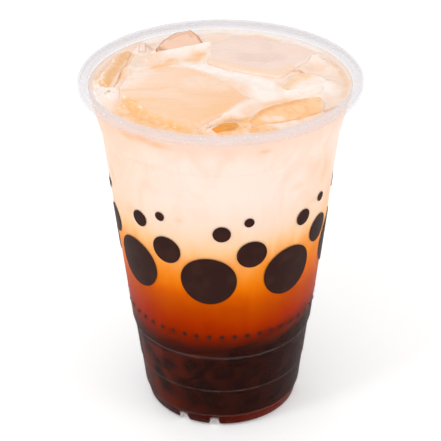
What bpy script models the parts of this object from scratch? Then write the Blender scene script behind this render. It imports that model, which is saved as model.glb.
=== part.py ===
"""Bubble tea in a clear takeaway cup.

A thin clear cup with a rolled rim holds a bed of dark pearls, amber tea over the pearls,
milk over the tea, and blocks of ice that stand a little out of the milk.

The origin is at the middle of the surface the cup stands on. +Z is up and -Y is the front.
"""

import math
import random

import bmesh
import bpy
from mathutils import Matrix, Vector

MM = 0.001
SIDES = 52  # flat sides round a turned piece
CORE_SIDES = 26  # and round the core of the pearl bed, which the pearls hide
GAP = 0.3 * MM  # room between pieces that touch

# The cup: one sheet of clear plastic, turned. Heights are above the table.
HEIGHT = 126.0 * MM
SHEET = 0.7 * MM
RIM_RADIUS = 47.5 * MM
RIM_DROP = 2.8 * MM  # how far the rolled edge hangs down
RIM_ROUND = 1.2 * MM
LIP_ROUND = 0.7 * MM
NECK_TOP = (123.2 * MM, 44.3 * MM)  # (height, radius) of the outer face
NECK_BOTTOM = (109.2 * MM, 40.95 * MM)
LEDGE = (108.7 * MM, 40.55 * MM)
STEP_TOP = (33.6 * MM, 32.55 * MM)
STEP_BOTTOM = (33.0 * MM, 31.95 * MM)
RING_TOP = (17.8 * MM, 30.25 * MM)
RING_BOTTOM = (17.5 * MM, 29.95 * MM)
CORNER_TOP = (5.8 * MM, 28.7 * MM)
CORNER_BOTTOM = (5.3 * MM, 28.25 * MM)
FOOT = (1.0 * MM, 27.3 * MM)
OUTER_WALL = (
    NECK_TOP, NECK_BOTTOM, LEDGE, STEP_TOP, STEP_BOTTOM, RING_TOP, RING_BOTTOM,
    CORNER_TOP, CORNER_BOTTOM, FOOT,
)
FOOT_FLAT = (24.7 * MM, 26.5 * MM)  # the ring that stands on the table
CHANNEL_RADIUS = 25.0 * MM  # inner side of the groove that runs round the floor
FLOOR_HEIGHT = 6.3 * MM
FLOOR_DOME = 0.5 * MM

# The air notches in the foot, in pairs. Angles are in degrees from the front towards +X.
NOTCH_PAIRS = (-18.0, 102.0, 222.0)
NOTCH_SPREAD = 24.0
NOTCH_HALF_WIDTH = 1.7 * MM
NOTCH_HEIGHT = 2.9 * MM
NOTCH_SIDES = 12

# The layers
DRINK_LEVEL = 122.8 * MM
MILK_BOTTOM = 76.0 * MM
PEARL_BED_HEIGHT = 36.7 * MM  # at the middle of the cup
PEARL_BED_TILT = math.radians(13.2)  # the bed rises towards +X

# The pearls
PEARL_RADIUS = 4.1 * MM
PEARL_STAND = 3.2 * MM  # how far a pearl stands out of the bed's core
PEARL_ROW_RISE = 7.0 * MM
PEARL_ROWS = 5
PEARL_SPACING = 8.6 * MM
PEARL_JITTER = 0.45 * MM
PEARL_SEED = 11

# The ice: corners as (x, y, height over the drink) in millimetres, and the depth under it.
ICE_OFF_WALL = 1.6 * MM
ICE_SHOULDER = 1.0 * MM  # depth at which a block is still as wide as its outline
ICE_TAPER = 0.85  # width of a block's underside against its outline
ICE_ROUND = 0.5 * MM
ICE_BLOCKS = {
    "ice_left": (14.0, (
        (-40.4, -2.5, 1.5), (-36.0, -9.5, 1.2), (-33.6, 3.0, 2.0), (-30.4, 21.5, 2.2),
        (-33.0, 22.5, 2.2), (-37.2, 14.8, 2.2), (-40.4, 3.0, 2.0),
    )),
    "ice_chip": (8.0, (
        (-28.4, 28.6, 2.0), (-25.8, 30.2, 2.0), (-25.4, 22.8, 1.4), (-28.6, 23.0, 1.4),
    )),
    "ice_back_left": (16.0, (
        (-22.8, 24.8, 1.6), (-20.0, 30.6, 2.8), (-15.9, 35.8, 3.0), (-10.2, 38.8, 3.0),
        (-7.6, 34.0, 2.4), (-5.6, 29.0, 1.7), (-5.8, 26.2, 1.5), (-12.2, 24.2, 1.5),
        (-21.2, 20.2, 1.2),
    )),
    "ice_middle": (18.0, (
        (-31.2, 4.2, 2.0), (-15.0, 10.4, 2.6), (-8.8, 7.4, 2.6), (3.0, -3.6, 2.6),
        (9.6, -16.0, 2.3), (0.5, -27.0, 2.0), (-7.0, -31.4, 2.0), (-14.2, -32.4, 2.1),
        (-24.0, -24.5, 2.2), (-32.4, -14.8, 2.2), (-33.2, -7.0, 2.2), (-33.3, -12.1, 0.2),
        (-29.0, -25.0, 0.2), (-20.6, -31.8, 0.2), (-14.2, -35.2, 0.2), (-7.4, -35.4, 0.2),
    )),
    "ice_back": (18.0, (
        (-3.6, 26.4, 2.2), (5.7, 34.2, 2.6), (19.0, 29.6, 2.5), (33.0, 21.2, 2.2),
        (29.0, 12.8, 2.2), (23.6, 6.2, 2.3), (19.6, -0.6, 2.4), (7.4, 3.8, 2.5),
        (-4.6, 11.2, 2.5),
    )),
    "ice_right": (12.0, (
        (19.8, -6.4, 1.6), (25.0, 2.6, 2.4), (30.6, 3.6, 2.4), (35.8, -1.0, 2.0),
        (33.0, -11.6, 1.2), (25.6, -12.2, 1.4),
    )),
    "ice_front_right": (10.0, (
        (8.6, -31.4, 1.8), (11.8, -26.4, 2.5), (17.3, -21.4, 2.7), (25.1, -17.7, 2.7),
        (32.3, -15.6, 2.6), (33.6, -18.4, 2.0), (32.2, -24.4, 0.7), (25.0, -29.0, 0.4),
        (17.0, -31.4, 0.3), (10.0, -34.0, 0.3),
    )),
    "ice_splinter": (4.0, (
        (-3.4, -35.4, 0.8), (-1.4, -38.0, 0.5), (3.4, -36.4, 0.6), (6.2, -33.4, 1.3),
        (4.6, -31.8, 1.6), (0.4, -32.4, 1.5),
    )),
}


def material(name, colour, roughness, transmission=0.0, alpha=1.0):
    """A plain Principled material."""
    made = bpy.data.materials.new(name)
    made.use_nodes = True
    shader = made.node_tree.nodes["Principled BSDF"]
    shader.inputs["Base Color"].default_value = (*colour, 1.0)
    shader.inputs["Roughness"].default_value = roughness
    shader.inputs["Metallic"].default_value = 0.0
    shader.inputs["Transmission Weight"].default_value = transmission
    shader.inputs["Alpha"].default_value = alpha
    return made


def add_object(name, mesh, collection, finish=None):
    """Puts a mesh in a collection as one object, shaded smooth except across sharp edges."""
    if finish:
        mesh.materials.append(finish)
    mesh.shade_smooth()
    mesh.set_sharp_from_angle(angle=math.radians(35))
    made = bpy.data.objects.new(name, mesh)
    collection.objects.link(made)
    return made


def mesh_from(name, shape):
    """Turns a bmesh into a mesh and frees it."""
    mesh = bpy.data.meshes.new(name)
    shape.to_mesh(mesh)
    shape.free()
    return mesh


def as_cutter(made):
    """Marks a helper that is not a piece of the drink."""
    made.hide_render = True
    made.display_type = "WIRE"
    return made


def boolean(target, operation, other, solver="EXACT"):
    """Adds a Boolean with one object, or with every object of a collection."""
    modifier = target.modifiers.new(operation.title(), "BOOLEAN")
    modifier.operation = operation
    modifier.solver = solver
    if isinstance(other, bpy.types.Collection):
        modifier.operand_type = "COLLECTION"
        modifier.collection = other
    else:
        modifier.object = other
    return modifier


def apply_modifiers(target):
    """Replaces an object's mesh with the one its modifiers make."""
    bpy.context.view_layer.update()
    graph = bpy.context.evaluated_depsgraph_get()
    mesh = bpy.data.meshes.new_from_object(target.evaluated_get(graph))
    mesh.name = target.name
    target.modifiers.clear()
    target.data = mesh


def turned(name, profile, collection, finish=None, sides=SIDES):
    """Turns (radius, height) points about Z. They run down the outer side."""
    shape = bmesh.new()
    points = [shape.verts.new((radius, 0.0, height)) for radius, height in profile]
    for start, end in zip(points, points[1:]):
        shape.edges.new((start, end))
    made = add_object(name, mesh_from(name, shape), collection, finish)
    screw = made.modifiers.new("Turn", "SCREW")
    screw.steps = sides
    screw.render_steps = sides
    screw.use_merge_vertices = True
    screw.merge_threshold = 0.01 * MM
    screw.use_smooth_shade = True
    return made


def arc(centre, radius, start, end, steps):
    """Points on an arc in the (radius, height) plane, with angles in degrees."""
    angles = [math.radians(start + (end - start) * i / steps) for i in range(steps + 1)]
    return [
        (centre[0] + radius * math.cos(a), centre[1] + radius * math.sin(a)) for a in angles
    ]


def inner_radius(height):
    """Radius of the cup's inner face at a height over the foot."""
    stations = list(OUTER_WALL)
    for (high, wide), (low, narrow) in zip(stations, stations[1:]):
        if height >= low:
            return narrow + (wide - narrow) * (height - low) / (high - low) - SHEET
    return stations[-1][1] - SHEET


def bed_height(x):
    """Height of the pearl bed's top at a place across the cup."""
    return PEARL_BED_HEIGHT + x * math.tan(PEARL_BED_TILT)


def cup_profile():
    """The sheet's section: floor, groove, inner wall, rolled rim, outer wall and foot."""
    floor_top = FLOOR_HEIGHT + SHEET
    floor = [
        (0.0, floor_top + FLOOR_DOME), (CHANNEL_RADIUS / 2, floor_top + FLOOR_DOME * 0.75),
        (CHANNEL_RADIUS - SHEET, floor_top), (CHANNEL_RADIUS, floor_top - SHEET),
    ]
    groove = [
        (CHANNEL_RADIUS, SHEET * 1.5), (CHANNEL_RADIUS + SHEET / 2, SHEET),
        (FOOT[1] - SHEET * 1.5, SHEET),
    ]
    inner_wall = [(radius - SHEET, height) for height, radius in reversed(OUTER_WALL)]
    lip_middle = (NECK_TOP[1] - SHEET + 0.5 * MM + LIP_ROUND, HEIGHT - LIP_ROUND)
    roll_middle = (RIM_RADIUS - RIM_ROUND, HEIGHT - RIM_ROUND)
    edge_middle = (RIM_RADIUS - SHEET / 2, HEIGHT - RIM_DROP + SHEET / 2)
    rim = (
        arc(lip_middle, LIP_ROUND, 180, 90, 2)
        + arc(roll_middle, RIM_ROUND, 90, 0, 3)
        + arc(edge_middle, SHEET / 2, 0, -180, 2)
        + arc(roll_middle, RIM_ROUND - SHEET, 0, 90, 1)
        + [(lip_middle[0] + SHEET, HEIGHT - SHEET), (lip_middle[0], HEIGHT - RIM_ROUND)]
    )
    outer_wall = [(radius, height) for height, radius in OUTER_WALL]
    leg = CHANNEL_RADIUS - SHEET
    underside = [
        (FOOT_FLAT[1], 0.0), (FOOT_FLAT[0], 0.0), (leg, SHEET / 2),
        (leg, FLOOR_HEIGHT - SHEET), (leg - SHEET, FLOOR_HEIGHT),
        (CHANNEL_RADIUS / 2, FLOOR_HEIGHT + FLOOR_DOME * 0.75),
        (0.0, FLOOR_HEIGHT + FLOOR_DOME),
    ]
    return floor + groove + inner_wall + rim + outer_wall + underside


def notch_angles():
    """Angles of the foot's notches, in radians from the front towards +X."""
    for pair in NOTCH_PAIRS:
        for side in (-0.5, 0.5):
            yield math.radians(pair + side * NOTCH_SPREAD)


def half_tube(name, half_width, height, near, far, angle, collection, cut_below=None):
    """A tube along a radius of the foot, wider than high or the other way about."""
    shape = bmesh.new()
    bmesh.ops.create_cone(
        shape, cap_ends=True, segments=NOTCH_SIDES, radius1=1.0, radius2=1.0,
        depth=far - near,
        matrix=Matrix.Translation((0, -(near + far) / 2, 0)) @ Matrix.Rotation(math.pi / 2, 4, "X"),
    )
    bmesh.ops.scale(shape, vec=(half_width, 1.0, height), verts=shape.verts)
    if cut_below is not None:
        every = shape.verts[:] + shape.edges[:] + shape.faces[:]
        cut = bmesh.ops.bisect_plane(
            shape, geom=every, plane_co=(0, 0, cut_below), plane_no=(0, 0, 1), clear_inner=True
        )
        rim_edges = [part for part in cut["geom_cut"] if isinstance(part, bmesh.types.BMEdge)]
        bmesh.ops.edgeloop_fill(shape, edges=rim_edges)
    bmesh.ops.recalc_face_normals(shape, faces=shape.faces)
    bmesh.ops.rotate(shape, matrix=Matrix.Rotation(angle, 3, "Z"), verts=shape.verts)
    return as_cutter(add_object(name, mesh_from(name, shape), collection))


def make_cup(collection, cutters, finish):
    """The clear cup, with arched notches through its foot."""
    cup = turned("cup", cup_profile(), collection, finish)
    # The arches stay inside this shape, which lies within the foot's sheet.
    inside = [(0.0, FLOOR_HEIGHT + SHEET / 2)] + [
        (radius - SHEET / 2, height)
        for height, radius in OUTER_WALL
        if height <= CORNER_BOTTOM[0]
    ] + [(FOOT_FLAT[1] - SHEET / 2, SHEET / 2), (0.0, SHEET / 2)]
    envelope = as_cutter(turned("foot_inside", inside, cutters))
    for number, angle in enumerate(notch_angles(), 1):
        arch = half_tube(
            f"arch_{number}", NOTCH_HALF_WIDTH + SHEET, NOTCH_HEIGHT + SHEET,
            CHANNEL_RADIUS - SHEET / 2, RIM_RADIUS, angle, cutters, cut_below=SHEET / 2,
        )
        boolean(arch, "INTERSECT", envelope)
        boolean(cup, "UNION", arch)
        tunnel = half_tube(
            f"tunnel_{number}", NOTCH_HALF_WIDTH, NOTCH_HEIGHT,
            CHANNEL_RADIUS - 3 * SHEET, RIM_RADIUS, angle, cutters,
        )
        boolean(cup, "DIFFERENCE", tunnel)
    return cup


def layer_profile(top, bottom):
    """A layer that fills the cup between two heights, with the gap to its wall."""
    sides = [(inner_radius(top) - GAP, top)]
    sides += [
        (radius - SHEET - GAP, height) for height, radius in OUTER_WALL if bottom < height < top
    ]
    sides += [(inner_radius(bottom) - GAP, bottom)]
    return [(0.0, top)] + sides + [(0.0, bottom)]


def bed_cutter(name, lift, above, cutters):
    """A big block whose face lies on the pearl bed's top, moved up by lift."""
    size = 4 * RIM_RADIUS
    shape = bmesh.new()
    bmesh.ops.create_cube(shape, size=size)
    block = as_cutter(add_object(name, mesh_from(name, shape), cutters))
    block.rotation_euler = (0.0, -PEARL_BED_TILT, 0.0)
    normal = Vector((-math.sin(PEARL_BED_TILT), 0.0, math.cos(PEARL_BED_TILT)))
    face = Vector((0.0, 0.0, PEARL_BED_HEIGHT)) + normal * lift
    block.location = face + normal * (size / 2 if above else -size / 2)
    return block


def make_tea(collection, cutters, finish):
    """The amber tea, from the pearl bed up to the milk."""
    lowest = bed_height(-CHANNEL_RADIUS * 1.6)
    tea = turned("tea", layer_profile(MILK_BOTTOM - GAP, lowest), collection, finish)
    boolean(tea, "DIFFERENCE", bed_cutter("under_tea", GAP / 2, False, cutters))
    return tea


def pearl_places():
    """Middles of the pearls that show through the wall, row by row from the floor."""
    draw = random.Random(PEARL_SEED)
    floor = FLOOR_HEIGHT + SHEET + FLOOR_DOME + GAP
    places = []
    for row in range(PEARL_ROWS):
        middle = floor + PEARL_RADIUS + PEARL_JITTER + row * PEARL_ROW_RISE
        ring = inner_radius(middle) - GAP - PEARL_RADIUS
        count = int(2 * math.pi * ring / PEARL_SPACING)
        for i in range(count):
            angle = 2 * math.pi * (i + row * 0.5) / count
            height = middle + draw.uniform(-PEARL_JITTER, PEARL_JITTER)
            x = ring * math.sin(angle)
            # A pearl keeps under the bed's top, and a row that would stand out of it is left off.
            highest = bed_height(x) - GAP - PEARL_RADIUS / math.cos(PEARL_BED_TILT)
            if height - highest > PEARL_ROW_RISE * 0.55:
                continue
            height = min(height, highest)
            near = inner_radius(height - PEARL_RADIUS * 0.2) - GAP - PEARL_RADIUS * 1.02
            places.append((near * math.sin(angle), -near * math.cos(angle), height))
    return places


def make_pearls(collection, cutters, finish):
    """The bed of pearls: a core, with the pearls at the wall fused to it."""
    bottom = FLOOR_HEIGHT + SHEET + FLOOR_DOME + GAP
    top = bed_height(inner_radius(STEP_TOP[0]))
    profile = [
        (max(radius - PEARL_STAND, 0.0), height) for radius, height in layer_profile(top, bottom)
    ]
    core = turned("pearls", profile, collection, finish, CORE_SIDES)
    boolean(core, "DIFFERENCE", bed_cutter("over_pearls", -GAP / 2, True, cutters))
    loose = bpy.data.collections.new("Loose_pearls")
    cutters.children.link(loose)
    shape = bmesh.new()
    bmesh.ops.create_icosphere(shape, subdivisions=2, radius=PEARL_RADIUS)
    bmesh.ops.dissolve_limit(
        shape, angle_limit=math.radians(1), verts=shape.verts, edges=shape.edges
    )
    ball = mesh_from("pearl", shape)
    draw = random.Random(PEARL_SEED + 1)
    for number, place in enumerate(pearl_places(), 1):
        pearl = as_cutter(bpy.data.objects.new(f"pearl_{number}", ball))
        loose.objects.link(pearl)
        pearl.location = place
        pearl.rotation_euler = [draw.uniform(0, math.pi) for _ in range(3)]
    boolean(core, "UNION", loose, "MANIFOLD")
    apply_modifiers(core)
    for pearl in list(loose.objects):
        bpy.data.objects.remove(pearl)
    bpy.data.collections.remove(loose)
    return core


def kept_off_wall(x, y, height):
    """A corner of the ice in metres, moved in where it would come near the cup's wall."""
    place = Vector((x, y, height))
    reach = math.hypot(x, y)
    limit = inner_radius(min(height, DRINK_LEVEL)) - ICE_OFF_WALL
    if reach > limit:
        place.xy = place.xy * (limit / reach)
    return place


def ice_corners(depth, corners, top=None):
    """A block's corners: those that show, its shoulder and its smaller underside.

    With top, the block is straight above its shoulder up to that height.
    """
    flat = [Vector((x, y)) * MM for x, y, _ in corners]
    middle = sum(flat, Vector((0.0, 0.0))) / len(flat)
    shoulder = DRINK_LEVEL - ICE_SHOULDER
    under = DRINK_LEVEL - depth * MM
    points = []
    for place, (_, _, rise) in zip(flat, corners):
        height = DRINK_LEVEL + rise * MM if top is None else top
        low = middle + (place - middle) * ICE_TAPER
        points.append(kept_off_wall(*place, height))
        points.append(kept_off_wall(*place, shoulder))
        points.append(kept_off_wall(*low, under))
    return points


def hull(name, points, collection, finish=None):
    """The convex shape round some points."""
    shape = bmesh.new()
    for place in points:
        shape.verts.new(place)
    found = bmesh.ops.convex_hull(shape, input=shape.verts)
    unused = {part for part in found["geom_interior"] + found["geom_unused"]}
    bmesh.ops.delete(
        shape, geom=[part for part in unused if isinstance(part, bmesh.types.BMVert)],
        context="VERTS",
    )
    bmesh.ops.dissolve_limit(
        shape, angle_limit=math.radians(3), verts=shape.verts, edges=shape.edges
    )
    bmesh.ops.recalc_face_normals(shape, faces=shape.faces)
    return add_object(name, mesh_from(name, shape), collection, finish)


def make_ice(collection, pockets, finish):
    """The blocks of ice, and for each a slightly larger shape that clears the milk for it."""
    room = GAP + 0.05 * MM
    for name, (depth, corners) in ICE_BLOCKS.items():
        block = hull(name, ice_corners(depth, corners), collection, finish)
        edges = block.modifiers.new("Rounding", "BEVEL")
        edges.width = ICE_ROUND
        edges.segments = 1
        edges.limit_method = "ANGLE"
        edges.angle_limit = math.radians(25)
        clear_of = HEIGHT + room
        grown = [
            corner + Vector((x, y, z)) * room
            for corner in ice_corners(depth, corners, clear_of)
            for x in (-1, 1) for y in (-1, 1) for z in (-1, 1)
        ]
        as_cutter(hull(f"pocket_{name}", grown, pockets))


def main():
    """Clears the scene and builds every piece."""
    for old in list(bpy.data.objects):
        bpy.data.objects.remove(old)
    drink = bpy.data.collections.new("Bubble_tea")
    cutters = bpy.data.collections.new("Cutters")
    pockets = bpy.data.collections.new("Ice_pockets")
    for made in (drink, cutters, pockets):
        bpy.context.scene.collection.children.link(made)

    make_cup(drink, cutters, material("Clear_plastic", (0.93, 0.93, 0.96), 0.08, 1.0, 0.35))
    milk = turned(
        "milk", layer_profile(DRINK_LEVEL, MILK_BOTTOM), drink,
        material("Milk", (1.0, 0.82, 0.68), 0.25),
    )
    make_ice(drink, pockets, material("Ice", (1.0, 0.72, 0.5), 0.08, 0.6))
    boolean(milk, "DIFFERENCE", pockets)
    make_tea(drink, cutters, material("Tea", (0.75, 0.24, 0.02), 0.15))
    make_pearls(drink, cutters, material("Pearls", (0.04, 0.012, 0.008), 0.2))


main()
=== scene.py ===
"""Bubble tea in a clear takeaway cup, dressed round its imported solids.

The cup, the drink, the pearls, their syrup, the ice, the froth, the drops of water and the
print are classes of their own. Dataclass lengths are in millimetres and Blender's are in
metres. The origin is at the middle of the surface the cup stands on, +Z is up and -Y is the
front. Angles round the cup run from the front towards +X.
"""

import logging
import math
import random
from collections.abc import Iterator, Sequence
from dataclasses import dataclass, field
from enum import Enum

import bpy
import numpy as np
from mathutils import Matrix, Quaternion, Vector, noise

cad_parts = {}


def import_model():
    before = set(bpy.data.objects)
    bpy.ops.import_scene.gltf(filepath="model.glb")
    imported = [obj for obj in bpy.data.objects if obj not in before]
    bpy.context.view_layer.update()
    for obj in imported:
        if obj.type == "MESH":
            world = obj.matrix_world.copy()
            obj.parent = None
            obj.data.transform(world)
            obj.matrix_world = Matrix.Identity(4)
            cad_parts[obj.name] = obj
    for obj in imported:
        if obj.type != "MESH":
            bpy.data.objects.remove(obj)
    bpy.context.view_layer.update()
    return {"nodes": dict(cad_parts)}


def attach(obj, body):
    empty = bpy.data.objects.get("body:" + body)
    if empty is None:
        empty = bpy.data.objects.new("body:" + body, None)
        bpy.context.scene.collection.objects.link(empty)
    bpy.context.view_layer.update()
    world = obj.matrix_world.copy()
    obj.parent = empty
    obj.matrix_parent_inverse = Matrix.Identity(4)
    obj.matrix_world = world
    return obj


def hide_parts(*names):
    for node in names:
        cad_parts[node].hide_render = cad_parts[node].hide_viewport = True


LOG = logging.getLogger("bubble_tea")
MM = 0.001
TINY = 1e-9  # keeps a line without length from dividing by 0
BODY = "root"
STROKE_EDGE = (1.5, 0.45)  # where a brush stroke ends and where it is full, in half widths
ICE_ROOM = 0.25  # how far the ice stays under the top of the rim
Colour = tuple[float, float, float, float]
Pair = tuple[float, float]
WHITE: Colour = (1.0, 1.0, 1.0, 1.0)


class Slot(Enum):
    """The record's material slots."""

    CUP = "cup_plastic"
    MILK = "milk"
    PEARLS = "pearls"
    ICE = "ice"


def linear(code: str) -> Colour:
    """Turns a six-digit colour code into Blender's linear colour.

    Args:
        code: red, green and blue as hexadecimal digits.

    Returns:
        The linear colour, opaque.
    """
    parts = [int(code[i : i + 2], 16) / 255 for i in (0, 2, 4)]
    red, green, blue = (
        part / 12.92 if part <= 0.04045 else ((part + 0.055) / 1.055) ** 2.4 for part in parts
    )
    return red, green, blue, 1.0


def eased_step(low: float, high: float, values: np.ndarray) -> np.ndarray:
    """Rises smoothly from 0 at low to 1 at high, or falls where high is the lower one.

    Args:
        low: where the result is 0.
        high: where the result is 1.
        values: the places to read it at.

    Returns:
        The step's value at each place.
    """
    share = np.clip((values - low) / (high - low), 0.0, 1.0)
    return share * share * (3 - 2 * share)


def eased_corners(section: Sequence[Pair], reach: float, steps: int = 4) -> list[Pair]:
    """Rounds the corners of a section with short curves.

    Args:
        section: (radius, height) points in order.
        reach: how far from a corner its curve starts.
        steps: segments in each curve.

    Returns:
        The section with its corners rounded.
    """
    made = [section[0]]
    for before, corner, after in zip(section, section[1:], section[2:]):
        place, back, onward = (np.array(point) for point in (corner, before, after))
        ends = []
        for other in (back, onward):
            length = float(np.linalg.norm(other - place))
            ends.append(place + (other - place) * min(reach, 0.45 * length) / length)
        for i in range(steps + 1):
            t = i / steps
            point = ends[0] * (1 - t) ** 2 + place * 2 * t * (1 - t) + ends[1] * t**2
            made.append((float(point[0]), float(point[1])))
    made.append(section[-1])
    return made


def arc(centre: Pair, radius: float, start: float, end: float, steps: int) -> list[Pair]:
    """Lists points on an arc in the (radius, height) plane.

    Args:
        centre: the arc's middle.
        radius: the arc's radius.
        start: first angle in degrees.
        end: last angle in degrees.
        steps: segments in the arc.

    Returns:
        The points in order.
    """
    angles = [math.radians(start + (end - start) * i / steps) for i in range(steps + 1)]
    return [
        (centre[0] + radius * math.cos(a), centre[1] + radius * math.sin(a)) for a in angles
    ]


def spot(radius: float, angle: float, height: float) -> tuple[float, float, float]:
    """Returns the point that far from the axis, in that direction in radians."""
    return radius * math.sin(angle), -radius * math.cos(angle), height


def ring(radius: np.ndarray | float, angles: np.ndarray, height: np.ndarray | float) -> np.ndarray:
    """Lists points round the axis.

    Args:
        radius: their distance from the axis.
        angles: their directions in radians.
        height: their height.

    Returns:
        The points.
    """
    return np.stack([radius * np.sin(angles), -radius * np.cos(angles), height + angles * 0], -1)


def turned_grid(section: np.ndarray, angles: np.ndarray) -> np.ndarray:
    """Turns rows of (radius, height) round the axis and returns points by row and direction."""
    return ring(section[:, :1], angles, section[:, 1:])


def off_line(x: np.ndarray, y: np.ndarray, start: Sequence[float],
             end: Sequence[float]) -> tuple[np.ndarray, np.ndarray]:
    """Measures places against a straight line, seen from above.

    Args:
        x: places across the cup.
        y: places from front to back.
        start: where the line starts.
        end: where it ends.

    Returns:
        Each place's distance from the line, and how far along the line its nearest point lies.
    """
    dx, dy = end[0] - start[0], end[1] - start[1]
    along = ((x - start[0]) * dx + (y - start[1]) * dy) / max(dx * dx + dy * dy, TINY)
    share = np.clip(along, 0, 1)
    return np.hypot(x - start[0] - share * dx, y - start[1] - share * dy), share


@dataclass
class Shell:
    """A closed surface as points in millimetres and faces."""

    points: np.ndarray
    faces: list[tuple[int, ...]]

    @classmethod
    def from_grid(cls, grid: np.ndarray, first: Sequence[float], last: Sequence[float]) -> "Shell":
        """Closes a grid of rings with a point at each end.

        Args:
            grid: points by ring and direction.
            first: the point before the first ring.
            last: the point after the last ring.

        Returns:
            The closed shell, its faces turned outwards.
        """
        rows, columns = grid.shape[:2]
        points = np.vstack([grid.reshape(-1, 3), [first], [last]])
        start, end = rows * columns, rows * columns + 1
        faces: list[tuple[int, ...]] = []
        for j in range(columns):
            k = (j + 1) % columns
            faces.append((start, k, j))
            for i in range(rows - 1):
                a, b = i * columns, (i + 1) * columns
                faces.append((a + j, a + k, b + k, b + j))
            last_row = (rows - 1) * columns
            faces.append((end, last_row + j, last_row + k))
        shell = cls(points, faces)
        if shell.volume() < 0:
            shell.faces = [face[::-1] for face in faces]
        return shell

    def volume(self) -> float:
        """Returns the enclosed volume, below 0 where the faces point inwards."""
        total = 0.0
        for face in self.faces:
            a, b, c = (self.points[i] for i in face[:3])
            total += float(np.dot(a, np.cross(b, c)))
            if len(face) == 4:
                total += float(np.dot(a, np.cross(c, self.points[face[3]])))
        return total / 6

    def to_object(self, name: str, finish: bpy.types.Material, sharp: float = 40.0) -> bpy.types.Object:
        """Makes a Blender object of the shell.

        Args:
            name: the piece's name.
            finish: its material.
            sharp: edges that turn by more degrees than this stay sharp.

        Returns:
            The new object, in the scene.
        """
        mesh = bpy.data.meshes.new(name)
        mesh.from_pydata((self.points * MM).tolist(), [], self.faces)
        mesh.materials.append(finish)
        return placed(name, mesh, sharp)


def linked(name: str, data: bpy.types.ID) -> bpy.types.Object:
    """Adds an object that holds the data to the scene and returns it."""
    made = bpy.data.objects.new(name, data)
    bpy.context.scene.collection.objects.link(made)
    return made


def placed(name: str, mesh: bpy.types.Mesh, sharp: float = 40.0) -> bpy.types.Object:
    """Puts a mesh into the scene as an object, shaded smooth.

    Args:
        name: the object's name.
        mesh: its mesh.
        sharp: edges that turn by more degrees than this stay sharp.

    Returns:
        The new object.
    """
    mesh.shade_smooth()
    mesh.set_sharp_from_angle(angle=math.radians(sharp))
    return linked(name, mesh)


def joined(shells: Sequence[Shell]) -> Shell:
    """Puts several shells into one.

    Args:
        shells: the shells.

    Returns:
        One shell that holds them all.
    """
    faces: list[tuple[int, ...]] = []
    start = 0
    for shell in shells:
        faces += [tuple(i + start for i in face) for face in shell.faces]
        start += len(shell.points)
    return Shell(np.vstack([shell.points for shell in shells]), faces)


def mark(made: bpy.types.Object, name: str, values: np.ndarray) -> None:
    """Stores one number a vertex for the materials to read.

    Args:
        made: the object.
        name: the attribute's name.
        values: a number for each vertex.
    """
    layer = made.data.attributes.new(name, "FLOAT", "POINT")
    layer.data.foreach_set("value", np.asarray(values, dtype=np.float32))


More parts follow.
